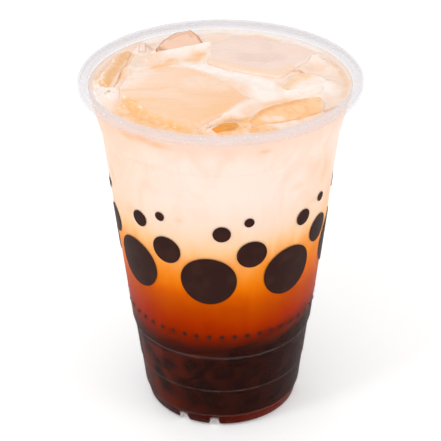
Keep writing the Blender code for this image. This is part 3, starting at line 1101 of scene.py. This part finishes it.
        # partly painted shade over and between the pearls
        mark(drink, "dark_tea_and_shade", np.where(is_open, 0.0, self.dark_tea_and_shade(points)))
        # painted light: where the pale band along the front of the wall lies
        mark(drink, "wall_band_light", eased_step(inner, outer, radius) * in_front)
        painted(drink, points, self.strokes)


@dataclass(frozen=True)
class PearlFinish:
    """Cooked tapioca: glossy, nearly black and reddish where it is thin."""

    dark: str = "1C0D0B"
    red: str = "4A140C"

    def make(self) -> bpy.types.Material:
        """Returns the material."""
        skin = Recipe("tapioca")
        patches = skin.span(skin.clouds(8.0, 2.0, seed=4.0), 0.45, 0.7)
        colour = skin.blend(patches, linear(self.dark), linear(self.red))
        return skin.coated(colour, 0.55, 0.05, skin.relief(skin.clouds(3.0, 2.0), 0.15))


@dataclass
class PearlBed:
    """The pearls that show through the wall, round a core that they hide."""

    form: CupForm
    finish: PearlFinish = field(default_factory=PearlFinish)
    radius: float = 4.1
    stand: float = 3.2
    row_rise: float = 7.0
    rows: int = 5
    spacing: float = 8.6
    most_lowered: float = 0.55  # share of a row's rise by which a pearl may sink under the top
    wall_room: float = 1.02  # from a pearl's middle to the wall, in radii
    jitter: float = 0.45
    gap: float = 0.3
    seed: int = 11
    facets: tuple[int, int] = (24, 15)
    core_sides: int = 96
    core_spread: float = 1.12  # how much wider the core is at its top

    def places(self) -> list[tuple[float, float, float]]:
        """Returns the middles of the pearls, row by row from the floor."""
        form, draw = self.form, random.Random(self.seed)
        floor = form.floor_height + form.sheet + form.floor_dome + self.gap
        found = []
        for row in range(self.rows):
            middle = floor + self.radius + self.jitter + row * self.row_rise
            reach = float(form.inner_radius(middle)) - self.gap - self.radius
            count = int(2 * math.pi * reach / self.spacing)
            for i in range(count):
                angle = 2 * math.pi * (i + row * 0.5) / count
                height = middle + draw.uniform(-self.jitter, self.jitter)
                lean = self.radius / math.cos(math.radians(form.bed_tilt))
                highest = form.bed_top(reach * math.sin(angle)) - self.gap - lean
                if height - highest > self.row_rise * self.most_lowered:
                    continue
                height = min(height, highest)
                near = float(form.inner_radius(height)) - self.radius * self.wall_room
                found.append(spot(near, angle, height))
        return found

    def pearl(self, place: Sequence[float], draw: random.Random) -> Shell:
        """Makes one pearl, not quite round.

        Args:
            place: its middle.
            draw: where its shape comes from.

        Returns:
            The pearl's shell.
        """
        around, up = self.facets
        heights = np.cos(np.linspace(0, math.pi, up + 2))[1:-1]
        section = np.stack([np.sqrt(1 - heights**2), heights], -1)
        grid = turned_grid(section, np.linspace(0, 2 * math.pi, around, endpoint=False))
        ends = np.array([(0.0, 0.0, 1.0), (0.0, 0.0, -1.0)])
        turn = np.array(
            Quaternion((draw.gauss(0, 1), draw.gauss(0, 1), draw.gauss(0, 1), draw.gauss(0, 1)))
            .normalized().to_matrix()
        )
        size = self.radius * np.array([draw.uniform(0.95, 1.0) for _ in range(3)])
        grid = (grid * size) @ turn.T + place
        first, last = (ends * size) @ turn.T + place
        return Shell.from_grid(grid, first, last)

    def core(self) -> Shell:
        """Returns the middle of the bed, which the pearls stand out of."""
        form = self.form
        angles = form.directions(self.core_sides)
        bottom = form.floor_height + form.sheet + form.floor_dome + self.gap
        radius = form.inner_radius(bottom) - self.stand
        low = ring(radius, angles, bottom)
        high = low * np.array([self.core_spread, self.core_spread, 1.0])
        high[:, 2] = form.bed_top(high[:, 0]) - self.gap
        return Shell.from_grid(np.stack([high, low]), (0, 0, form.bed_height), (0, 0, bottom))

    def build(self) -> bpy.types.Object:
        """Returns:
            The pearl bed.
        """
        draw = random.Random(self.seed + 1)
        shells = [self.core()] + [self.pearl(place, draw) for place in self.places()]
        bed = joined(shells).to_object("pearls_heap", self.finish.make(), 80.0)
        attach(bed, BODY)
        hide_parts("pearls")
        return bed


@dataclass(frozen=True)
class SyrupFinish:
    """Dark brown syrup, thin over the pearls and reddish where light comes through it."""

    clear_tint: str = "A85A3C"
    pearl: str = "27120F"
    dark: str = "2C1410"
    red: str = "642112"
    lit: str = "8A2A0C"
    # painted light and shade: the syrup in the foot's groove takes the look of the shaded table under the
    # cup, lit red through the syrup, darker at the left and brighter to the right
    foot_shade: str = "3A0A05"
    foot_red_light: str = "601404"
    thickness: float = 0.82

    def make(self) -> bpy.types.Material:
        """Returns the material."""
        mix = Recipe("brown_syrup")
        across = mix.span(mix.axis("X"), 6.0, -27.0, (0.1, 1.0))
        lumps = mix.span(mix.clouds(10.0, 4.0, (1, 1, 1), 1.2, 2.0), 0.34, 0.62)
        colour = mix.blend(mix.maths("MULTIPLY", across, lumps), linear(self.dark), linear(self.red))
        uneven = mix.span(mix.clouds(11.0, 2.0, seed=12.0), 0.3, 0.6, (0.15, 0.85))
        over = mix.maths("MULTIPLY", mix.reading("pearl"), uneven)
        colour = mix.blend(over, colour, linear(self.pearl))
        colour = mix.blend(mix.reading("lit"), colour, linear(self.lit))
        # painted light and shade in the foot's groove, brighter towards the right
        foot = mix.blend(mix.span(mix.axis("X"), -12.0, 20.0), linear(self.foot_shade),
                         linear(self.foot_red_light))
        low = mix.span(mix.axis("Z"), 6.0, 4.8)
        colour = mix.blend(low, colour, foot)
        cover = mix.maths("MAXIMUM", low, self.thickness)
        clear = mix.node("BsdfTransparent", Color=linear(self.clear_tint))
        body = mix.node("BsdfDiffuse", Color=colour)
        return mix.finished(mix.mixed(cover, clear.outputs[0], body.outputs[0]))


@dataclass
class Syrup:
    """The syrup round the pearls and in the groove of the foot."""

    form: CupForm
    pearls: Sequence[tuple[float, float, float]]
    pearl_radius: float
    finish: SyrupFinish = field(default_factory=SyrupFinish)
    bite: float = 0.33
    gap: float = 0.1
    sides: int = 300
    at_notches: int = 9
    rows: int = 64
    light: float = 0.8
    light_depth: Pair = (-4.5, -0.2)  # under the bed's top, from dark to lit
    light_across: Pair = (6.0, 24.0)  # places across the cup, from dark to lit
    pearl_range: Pair = (1.62, 1.15)  # from a pearl's middle in radii, from far to near

    def lit(self, points: np.ndarray) -> np.ndarray:
        """Returns how far the tea's light reaches into the bed's top at each point."""
        under = points[:, 2] - self.form.bed_top(points[:, 0])
        across = eased_step(*self.light_across, points[:, 0])
        return self.light * eased_step(*self.light_depth, under) * across

    def over_pearls(self, points: np.ndarray) -> np.ndarray:
        """Returns how near a pearl lies behind each point of the syrup's face."""
        near = np.zeros(len(points))
        for place in self.pearls:
            off = np.linalg.norm(points - place, axis=-1) / self.pearl_radius
            near = np.maximum(near, eased_step(*self.pearl_range, off))
        return near

    def build(self) -> bpy.types.Object:
        """Returns:
            The syrup.
        """
        form = self.form
        angles = form.directions(self.sides, self.at_notches)
        top = form.bed_edge(angles) - self.gap
        rows = form.wall_rows(angles, top, form.sheet * 1.4, self.rows, self.bite)
        lid = rows[0] * np.array([0.5, 0.5, 1.0])
        lid[:, 2] = form.bed_top(lid[:, 0]) - self.gap
        floor = form.floor_height + form.sheet
        groove = turned_grid(
            np.array([
                (form.groove_radius + 0.5, form.sheet + self.gap),
                (form.groove_radius + self.gap, form.sheet * 1.6),
                (form.groove_radius + self.gap, floor - form.sheet),
                (form.groove_radius - form.sheet, floor + self.gap),
                (form.groove_radius / 2, floor + form.floor_dome),
            ]),
            angles,
        )
        grid = form.over_notches(np.vstack([[lid], rows, groove]), form.sheet - self.bite)
        ends = (0, 0, form.bed_height - self.gap), (0, 0, floor + form.floor_dome + self.gap)
        shell = Shell.from_grid(grid, *ends)
        syrup = shell.to_object("syrup", self.finish.make(), 50.0)
        mark(syrup, "pearl", self.over_pearls(shell.points))
        mark(syrup, "lit", self.lit(shell.points))
        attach(syrup, BODY)
        return syrup


@dataclass(frozen=True)
class IceFinish:
    """Wet ice with a film of milk, and tea in the light that comes through it."""

    film: str
    bare: str
    # the steep sides' colour: partly tea seen through the ice and partly painted light, on most blocks
    # lighter than the top to lift the shade where the flanks meet the milk
    flank_tea_and_light: str
    edge: str
    edge_strength: float = 0.6
    edge_width: float = 0.7
    bare_from: float = 0.45
    right: str | None = None
    right_range: Pair = (-24.0, 6.0)
    amber: str = "FDC680"
    cream: str = "FFF1E6"
    brown: str = "E0A878"
    patch: float = 8.0
    stretch: tuple[float, float, float] = (1, 1, 1)
    seed: float = 0.0

    def make(self, name: str) -> bpy.types.Material:
        """Makes the material.

        Args:
            name: the block's name.

        Returns:
            The material.
        """
        wet = Recipe(f"{name}_finish")
        film = wet.clouds(self.patch, 5.0, self.stretch, 1.0, self.seed)
        top = wet.blend(wet.span(film, self.bare_from, self.bare_from + 0.22), linear(self.film),
                        linear(self.bare))
        if self.right:
            across = wet.span(wet.axis("X"), *self.right_range, (0.0, 0.8))
            top = wet.blend(across, top, linear(self.right))
        # painted light on the flanks: steep faces take the flank colour, which on most blocks lightens the
        # shade at their foot
        steep = wet.span(wet.facing_up(), 0.955, 0.8)
        mottle = wet.span(wet.clouds(3.0, 3.0, (1, 1, 1), 0.8, self.seed + 7), 0.3, 0.7)
        side = wet.blend(wet.maths("MULTIPLY", mottle, 0.35), linear(self.flank_tea_and_light), linear(self.film))
        colour = wet.blend(steep, top, side)
        patchy = wet.span(wet.clouds(5.0, 2.0, seed=self.seed + 3), 0.3, 0.6)
        lines = wet.span(wet.reading("edge_distance"), self.edge_width, 0.1)
        lines = wet.maths("MULTIPLY", lines, wet.maths("MULTIPLY", patchy, self.edge_strength))
        colour = wet.blend(lines, colour, linear(self.edge))
        colour = wet.brushed(colour, (self.amber, self.cream, self.brown), 1.8)
        pits = wet.relief(wet.clouds(2.4, 3.0, (1, 1, 1), 0.6, self.seed), 0.16)
        shader = wet.node("BsdfPrincipled", Base_Color=colour, Roughness=0.16, IOR=1.36, Normal=pits)
        return wet.finished(shader.outputs[0])


@dataclass
class IceBlock:
    """One block of ice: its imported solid, worn smooth by the drink."""

    name: str
    finish: IceFinish
    strokes: tuple[Brush, ...] = ()
    voxel: float = 0.5
    melt: int = 5
    melt_factor: float = 0.5
    wave: float = 0.35
    wave_size: float = 5.5
    fine_wave: Pair = (0.4, 0.35)  # height and size of the finer waves, as shares of the others
    flat: float = 0.85  # how far up a face of the top looks at least
    far: float = 9.0  # the largest distance that is stored

    def top_edges(self, mesh: bpy.types.Mesh) -> np.ndarray:
        """Finds the edges between the top of a block and its flanks.

        Args:
            mesh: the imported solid's mesh.

        Returns:
            Start and end of each edge, in millimetres.
        """
        corners = [tuple(round(value / MM, 3) for value in vertex.co) for vertex in mesh.vertices]
        leans: dict[tuple, list[float]] = {}
        for face in mesh.polygons:
            for first, second in face.edge_keys:
                ends = tuple(sorted((corners[first], corners[second])))
                leans.setdefault(ends, []).append(face.normal.z)
        found = [ends for ends, lean in leans.items() if max(lean) > self.flat > min(lean)]
        return np.array(found, dtype=float)

    def edge_distance(self, points: np.ndarray, edges: np.ndarray) -> np.ndarray:
        """Returns each point's distance to the nearest top edge, in millimetres."""
        best = np.full(len(points), self.far)
        for start, end in edges:
            run = end - start
            share = np.clip((points - start) @ run / max(float(run @ run), TINY), 0, 1)
            best = np.minimum(best, np.linalg.norm(points - start - share[:, None] * run, axis=1))
        return best

    def build(self, node: bpy.types.Object, highest: float) -> bpy.types.Object:
        """Args:
            node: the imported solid.
            highest: height that the block stays under.

        Returns:
            The block.
        """
        edges = self.top_edges(node.data)
        rough = linked(f"{self.name}_rough", node.data.copy())
        remesh = rough.modifiers.new("Remesh", "REMESH")
        remesh.mode = "VOXEL"
        remesh.voxel_size = self.voxel * MM
        smooth = rough.modifiers.new("Melt", "SMOOTH")
        smooth.iterations = self.melt
        smooth.factor = self.melt_factor
        bpy.context.view_layer.update()
        graph = bpy.context.evaluated_depsgraph_get()
        mesh = bpy.data.meshes.new_from_object(rough.evaluated_get(graph))
        bpy.data.objects.remove(rough)
        mesh.name = self.name
        count = len(mesh.vertices)
        points, normals = np.empty(count * 3), np.empty(count * 3)
        mesh.vertices.foreach_get("co", points)
        mesh.vertices.foreach_get("normal", normals)
        points, normals = points.reshape(-1, 3) / MM, normals.reshape(-1, 3)
        share, fineness = self.fine_wave
        swing = np.array([
            noise.noise(Vector(point) / self.wave_size)
            + share * noise.noise(Vector(point) / (self.wave_size * fineness))
            for point in points
        ])
        distance = self.edge_distance(points, edges)
        points = points + normals * (swing * self.wave)[:, None]
        points[:, 2] = np.minimum(points[:, 2], highest)
        mesh.vertices.foreach_set("co", (points * MM).ravel())
        mesh.materials.clear()
        mesh.materials.append(self.finish.make(self.name))
        block = placed(f"{self.name}_wet", mesh, 70.0)
        mark(block, "edge_distance", distance)
        painted(block, points, self.strokes)
        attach(block, BODY)
        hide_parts(self.name)
        return block


ICE = (
    IceBlock(
        "ice_left",
        IceFinish("F8D3B4", "F3C093", "F8D6B8", "FBDCC0", 0.5, amber="F1B470", patch=3.6, seed=1.0),
        (
            Brush(Tint.AMBER, ((-31.6, 21.6), (-33.4, 12.1), (-36.4, 1.3), (-37.4, -6.0)), 2.4, 0.85),
            Brush(Tint.CREAM, ((-39.4, 9.0), (-40.4, 1.0)), 1.6, 0.6),
            Brush(Tint.CREAM, ((-31.0, 14.0), (-33.2, 4.0), (-35.4, -6.0)), 1.2, 0.7),
        ),
    ),
    IceBlock("ice_chip", IceFinish("FBE6DA", "F3D9CB", "F0D5C6", "D5B09C", 0.5, seed=2.0)),
    IceBlock(
        "ice_back_left",
        IceFinish("FACFB5", "F4C4A6", "E9B896", "CF9468", 1.0, 0.9, brown="C98D63", seed=3.0),
        (
            Brush(Tint.BROWN, ((-22.4, 25.0), (-19.6, 30.4), (-15.6, 35.4), (-10.4, 38.2)), 0.8, 0.9),
            Brush(Tint.BROWN, ((-10.4, 38.2), (-7.9, 33.6), (-6.0, 28.8)), 0.7, 0.9),
            Brush(Tint.BROWN, ((-18.0, 30.2), (-14.4, 33.6), (-11.4, 35.4), (-9.8, 32.4)), 0.5, 0.4),
            Brush(Tint.BROWN, ((-22.4, 24.2), (-20.8, 22.6)), 2.2, 0.9),
        ),
    ),
    IceBlock(
        "ice_middle",
        IceFinish("FFDBC0", "FFD0A9", "FFE3CF", "F9D0AC", 0.3, right="FDC99C", amber="FDBF72",
                  patch=7.0, stretch=(0.4, 1.5, 1), seed=4.0),
        (
            SHOULDER,
            Brush(Tint.AMBER, ((-24.0, -20.0), (-16.0, -27.0), (-6.0, -30.0), (0.0, -25.0)), 5.5, 0.35),
            Brush(Tint.CREAM, ((-8.0, -4.4), (0.0, -7.0)), 4.5, 0.4),
            Brush(Tint.CREAM, ((-26.0, 5.0), (-31.0, -5.0)), 4.0, 0.6),
            Brush(Tint.CREAM, ((-16.0, 9.0), (-8.0, 6.4), (4.0, -4.6), (9.0, -14.0)), 1.6, 0.8),
        ),
    ),
    IceBlock(
        "ice_back",
        IceFinish("F9DECF", "F5D9CB", "FFEFE4", "FFEFE2", 0.5, amber="FFDABC", brown="E8C6BC", patch=12.0,
                  seed=5.0),
        (
            Brush(Tint.BROWN, ((9.0, 14.6), (19.0, 15.4)), 3.2, 0.45),
            Brush(Tint.BROWN, ((12.0, 12.6), (17.4, 11.8)), 0.8, 0.6),
            Brush(Tint.AMBER, ((-4.6, 12.8), (6.7, 6.6), (18.7, 1.8), (23.5, 7.4)), 1.9),
            Brush(Tint.AMBER, ((24.0, 20.0), (31.0, 20.5)), 2.6, 0.3),
        ),
    ),
    IceBlock(
        "ice_right",
        IceFinish("FFE4CC", "FFD9B8", "FFE6D2", "F2CDAB", 0.5, amber="FBD2A9", seed=6.0),
        (
            Brush(Tint.AMBER, ((20.5, -6.8), (24.6, 1.2), (27.6, 2.0)), 2.8),
            Brush(Tint.CREAM, ((28.6, -8.6), (33.6, -4.0)), 4.2),
            Brush(Tint.BROWN, ((24.6, 2.8), (30.6, 3.8), (35.6, -0.6)), 0.7),
        ),
    ),
    IceBlock(
        "ice_front_right",
        IceFinish("FED0A0", "FCC28C", "FBC896", "F4AC6C", 0.5, 0.8, 0.4, brown="F4AE6E",
                  amber="FFC07A", patch=4.0, seed=7.0),
        (
            Brush(Tint.BROWN, ((8.8, -30.6), (11.8, -27.4), (17.3, -22.6), (24.0, -19.0)), 1.7, 0.9),
            Brush(Tint.AMBER, ((9.0, -33.4), (15.0, -33.0)), 2.4, 0.5),
            Brush(Tint.CREAM, ((14.0, -29.8), (19.1, -28.8)), 1.2, 0.6),
            Brush(Tint.CREAM, ((32.9, -18.6), (32.6, -23.6)), 0.6, 0.5),
        ),
    ),
    IceBlock(
        "ice_splinter",
        IceFinish("EFA548", "E8963A", "F3BE88", "C9782E", 0.5, 0.5, brown="B8793F", amber="FF9A34",
                  patch=3.0, seed=8.0),
        (
            Brush(Tint.BROWN, ((-3.4, -35.0), (0.4, -32.4), (4.8, -31.6)), 0.6),
            Brush(Tint.AMBER, ((-3.0, -36.6), (-0.6, -37.6)), 1.8),
        ),
        voxel=0.35, melt=2, wave=0.12,
    ),
)


@dataclass(frozen=True)
class BubbleFinish:
    """A thin film of milk over air."""

    film: str = "FFE3CB"

    def make(self) -> bpy.types.Material:
        """Returns the material."""
        film = Recipe("froth_film")
        clear = film.node("BsdfTransparent", Color=WHITE)
        wall = film.node("BsdfDiffuse", Color=linear(self.film))
        body = film.mixed(film.gloss_share(0.25, 0.7, 2.0), clear.outputs[0], wall.outputs[0])
        return film.glossed(body, 0.05, 0.05, 0.3)


def dome(place: Sequence[float], radius: float, rise: float, sides: int = 16) -> Shell:
    """Makes a small closed dome.

    Args:
        place: middle of its base.
        radius: its radius.
        rise: its height.
        sides: facets round it.

    Returns:
        The dome's shell.
    """
    angles = np.linspace(0, 2 * math.pi, sides, endpoint=False)
    tilts = np.radians([22.5, 45, 67.5, 90])
    section = np.stack([np.sin(tilts) * radius, np.cos(tilts) * rise], -1)
    section = np.vstack([section, [(radius * 0.9, -0.15 * rise)]])
    grid = turned_grid(section, angles) + place
    x, y, z = place
    return Shell.from_grid(grid, (x, y, z + rise), (x, y, z - 0.2 * rise))


@dataclass
class Froth:
    """Small bubbles in the corners of the milk."""

    drink: Drink
    finish: BubbleFinish = field(default_factory=BubbleFinish)
    seed: int = 5
    clusters: tuple[tuple[float, float, float, int], ...] = (
        (-2.7, -27.3, 3.4, 16), (-5.2, -33.5, 3.0, 14), (33.5, 17.5, 2.4, 8),
        (-36.0, -12.5, 1.6, 5), (9.0, -34.5, 2.4, 5), (24.0, -33.0, 3.0, 5),
    )  # (x, y, spread, how many)
    radii: Pair = (0.22, 0.75)
    shares: Pair = (0.6, 1.0)  # of a drawn radius, so that small bubbles are more common
    squash: float = 0.6  # how much narrower a cluster is from front to back
    roundness: float = 0.7
    wall_gap: float = 1.0

    def build(self) -> bpy.types.Object:
        """Returns:
            The froth.
        """
        draw = random.Random(self.seed)
        shells = []
        reach = float(self.drink.form.inner_radius(self.drink.form.level)) - self.wall_gap
        for x, y, spread, count in self.clusters:
            for _ in range(count):
                turn, off = draw.uniform(0, 2 * math.pi), spread * math.sqrt(draw.random())
                bx, by = x + off * math.cos(turn), y + off * math.sin(turn) * self.squash
                radius = draw.uniform(*self.radii) * draw.uniform(*self.shares)
                if math.hypot(bx, by) > reach:
                    continue
                height = float(self.drink.surface_height(bx, by)[0])
                shells.append(dome((bx, by, height), radius, radius * self.roundness))
        froth = joined(shells).to_object("froth", self.finish.make(), 60.0)
        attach(froth, BODY)
        return froth


@dataclass(frozen=True)
class WaterFinish:
    """Drops of clear water, whose white share is a painted glint."""

    tint: str = "FBFBFD"
    # painted glint: the white that the drops show
    white: str = "FCFCFD"

    def make(self) -> bpy.types.Material:
        """Returns the material."""
        water = Recipe("water_drops_with_painted_glints")
        clear = water.node("BsdfTransparent", Color=linear(self.tint))
        # painted glint: a white diffuse share in place of a reflection
        painted_glint = water.node("BsdfDiffuse", Color=linear(self.white))
        body = water.mixed(0.55, clear.outputs[0], painted_glint.outputs[0])
        return water.glossed(body, 0.14, 0.1, 0.3, 2.0)


@dataclass
class Drops:
    """Specks of water on the rim; those in front sit where the lamps' highlights fall and are painted
    highlights.
    """

    form: CupForm
    finish: WaterFinish = field(default_factory=WaterFinish)
    count: int = 40
    seed: int = 8
    radii: Pair = (0.2, 0.5)
    band: Pair = (2.2, 1.2)  # where they lie, inwards from the rim's outside
    roundness: float = 0.45
    highest: float = 0.22
    # painted highlights: drops set at the angles where the lamps' highlights fall on the front of the rim
    front: tuple[float, ...] = (-51.5, -41.8, -7.5, -6.0, 5.7, 9.2, 13.4, 28.2, 34.3, 50.2)
    front_radii: Pair = (0.5, 0.65)
    front_inset: float = 0.9
    front_sink: float = 0.5
    front_rise: float = 0.48

    def build(self) -> bpy.types.Object:
        """Returns:
            The drops.
        """
        form, draw = self.form, random.Random(self.seed)
        shells = []
        for _ in range(self.count):
            angle = draw.uniform(0, 2 * math.pi)
            away = draw.uniform(*(form.rim_radius - inward for inward in self.band))
            radius = draw.uniform(*self.radii)
            rise = min(radius * self.roundness, self.highest)
            shells.append(dome(spot(away, angle, form.height - rise), radius, rise, 12))
        for degrees in self.front:
            away = form.rim_radius - self.front_inset
            place = spot(away, math.radians(degrees), form.height - self.front_sink)
            shells.append(dome(place, draw.uniform(*self.front_radii), self.front_rise, 14))
        drops = joined(shells).to_object("water_drops_with_painted_glints", self.finish.make(), 60.0)
        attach(drops, BODY)
        return drops


@dataclass(frozen=True)
class InkFinish:
    """Dark brown printing ink."""

    ink: str = "2F1814"
    worn: str = "3B2119"

    def make(self) -> bpy.types.Material:
        """Returns the material."""
        ink = Recipe("printing_ink")
        worn = ink.span(ink.clouds(6.0, 3.0, seed=2.0), 0.4, 0.75)
        return ink.coated(ink.blend(worn, linear(self.ink), linear(self.worn)), 0.5, 0.05)


@dataclass
class Print:
    """A plain pattern of dots round the cup, like rising pearls."""

    form: CupForm
    finish: InkFinish = field(default_factory=InkFinish)
    repeats: int = 8
    dots: tuple[tuple[float, float, float], ...] = (
        (0.0, 67.0, 9.5), (14.3, 77.5, 5.2), (4.5, 86.5, 3.0), (13.0, 90.5, 1.7),
    )  # (place along the band, height, radius)
    small_count: int = 48
    small_height: float = 43.0
    small_radius: float = 0.8
    lift: float = 0.02
    thickness: float = 0.05
    start: float = -7.0

    def dot(self, angle: float, height: float, radius: float, sides: int) -> Shell:
        """Makes one dot that follows the wall.

        Args:
            angle: its direction from the front, in radians.
            height: its middle's height.
            radius: its radius.
            sides: facets round it.

        Returns:
            The dot's shell.
        """
        turns = np.linspace(0, 2 * math.pi, sides, endpoint=False)
        shares = (0.25, 0.5, 0.75, 1.0)
        rings = [(share, self.lift + self.thickness) for share in shares]
        rings += [(share, self.lift) for share in reversed(shares)]
        grid = np.empty((len(rings), sides, 3))
        for i, (share, off) in enumerate(rings):
            up = height + np.cos(turns) * radius * share
            wall = self.form.outer_radius(up) + off
            way = angle + np.sin(turns) * radius * share / float(self.form.outer_radius(height))
            grid[i] = ring(wall, way, up)
        middle = float(self.form.outer_radius(height)) + self.lift
        front, back = (spot(middle + more, angle, height) for more in (self.thickness, 0.0))
        return Shell.from_grid(grid, front, back)

    def build(self) -> bpy.types.Object:
        """Returns:
            The print.
        """
        shells = []
        pitch = 2 * math.pi / self.repeats
        girth = float(self.form.outer_radius(self.dots[0][1]))
        for i in range(self.repeats):
            for along, height, radius in self.dots:
                angle = math.radians(self.start) + i * pitch + along / girth
                shells.append(self.dot(angle, height, radius, 56))
        for i in range(self.small_count):
            angle = 2 * math.pi * i / self.small_count
            shells.append(self.dot(angle, self.small_height, self.small_radius, 20))
        dots = joined(shells).to_object("printed_dots", self.finish.make(), 60.0)
        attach(dots, BODY)
        return dots


@dataclass
class Studio:
    """The floor, the lights and the camera, at the photograph's angle."""

    camera_place: tuple[float, float, float] = (0.0, -0.45308, 0.33447)
    aim: tuple[float, float, float] = (-0.00028, 0.0, 0.0696)
    lens: float = 122.1
    sensor: float = 36.0
    roll: float = 0.348
    sky: float = 0.78
    floor_glow: float = 0.21
    floor_reach: float = 3.0
    lamps: tuple[tuple[str, tuple[float, float, float], float, float], ...] = (
        ("key", (-0.45, -0.35, 0.75), 0.20, 1.4),
        ("fill", (0.55, -0.3, 0.5), 0.35, 0.7),
        ("front", (-0.2, -0.8, 0.16), 0.40, 0.27),
        ("back", (-0.25, 0.6, 0.5), 0.16, 0.25),
    )  # (name, place, width, watts)

    def turn(self, made: bpy.types.Object, place: Sequence[float], roll: float = 0.0) -> None:
        """Puts an object in its place and turns it to the drink, rolled by so many degrees."""
        made.location = place
        look = (Vector(self.aim) - made.location).to_track_quat("-Z", "Y")
        made.rotation_mode = "QUATERNION"
        made.rotation_quaternion = look @ Quaternion((0, 0, 1), -math.radians(roll))

    def add_camera(self) -> None:
        """Places the camera and makes it the scene's."""
        data = bpy.data.cameras.new("camera")
        data.lens = self.lens
        data.sensor_width = self.sensor
        data.clip_start = 0.01
        camera = linked("camera", data)
        self.turn(camera, self.camera_place, self.roll)
        bpy.context.scene.camera = camera

    def add_lamps(self) -> None:
        """Places the soft lamps, each turned to the drink."""
        for name, place, width, watts in self.lamps:
            data = bpy.data.lights.new(name, "AREA")
            data.shape = "DISK"
            data.size = width
            data.energy = watts
            self.turn(linked(name, data), place)

    def add_sky(self) -> None:
        """Gives the scene even white light from all round."""
        world = bpy.data.worlds.new("soft_box")
        world.use_nodes = True
        background = world.node_tree.nodes["Background"]
        background.inputs["Color"].default_value = WHITE
        background.inputs["Strength"].default_value = self.sky
        bpy.context.scene.world = world

    def add_floor(self) -> None:
        """Lays the pale floor."""
        paint = Recipe("floor_paint")
        shader = paint.node("BsdfPrincipled", Base_Color=(0.97, 0.97, 0.97, 1.0), Roughness=0.9,
                            Specular_IOR_Level=0.0, Emission_Color=WHITE, Emission_Strength=self.floor_glow)
        side = self.floor_reach
        mesh = bpy.data.meshes.new("floor")
        mesh.from_pydata([(-side, -side, 0), (side, -side, 0), (side, side, 0), (-side, side, 0)], [],
                         [(0, 1, 2, 3)])
        mesh.materials.append(paint.finished(shader.outputs[0]))
        floor = linked("floor", mesh)

    def build(self) -> None:
        """Sets up the whole studio."""
        view = bpy.context.scene.view_settings
        view.view_transform = "Standard"
        view.look = "None"
        self.add_camera()
        self.add_lamps()
        self.add_sky()
        self.add_floor()


def main() -> None:
    """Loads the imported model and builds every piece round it."""
    logging.basicConfig(level=logging.INFO, format="%(name)s: %(message)s")
    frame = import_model()
    Studio().build()
    form = CupForm()
    bed = PearlBed(form)
    shores = np.vstack([block.top_edges(frame["nodes"][block.name].data) for block in ICE])
    drink = Drink(form, bed.places(), bed.radius, shores)
    syrup = Syrup(form, bed.places(), bed.radius)
    for maker in (Cup(form), drink, bed, syrup, Froth(drink), Drops(form), Print(form)):
        made = maker.build()
        LOG.info("%s: %d faces", made.name, len(made.data.polygons))
    for block in ICE:
        made = block.build(frame["nodes"][block.name], form.height - ICE_ROOM)
        LOG.info("%s: %d faces", made.name, len(made.data.polygons))


if __name__ == "__main__":
    main()
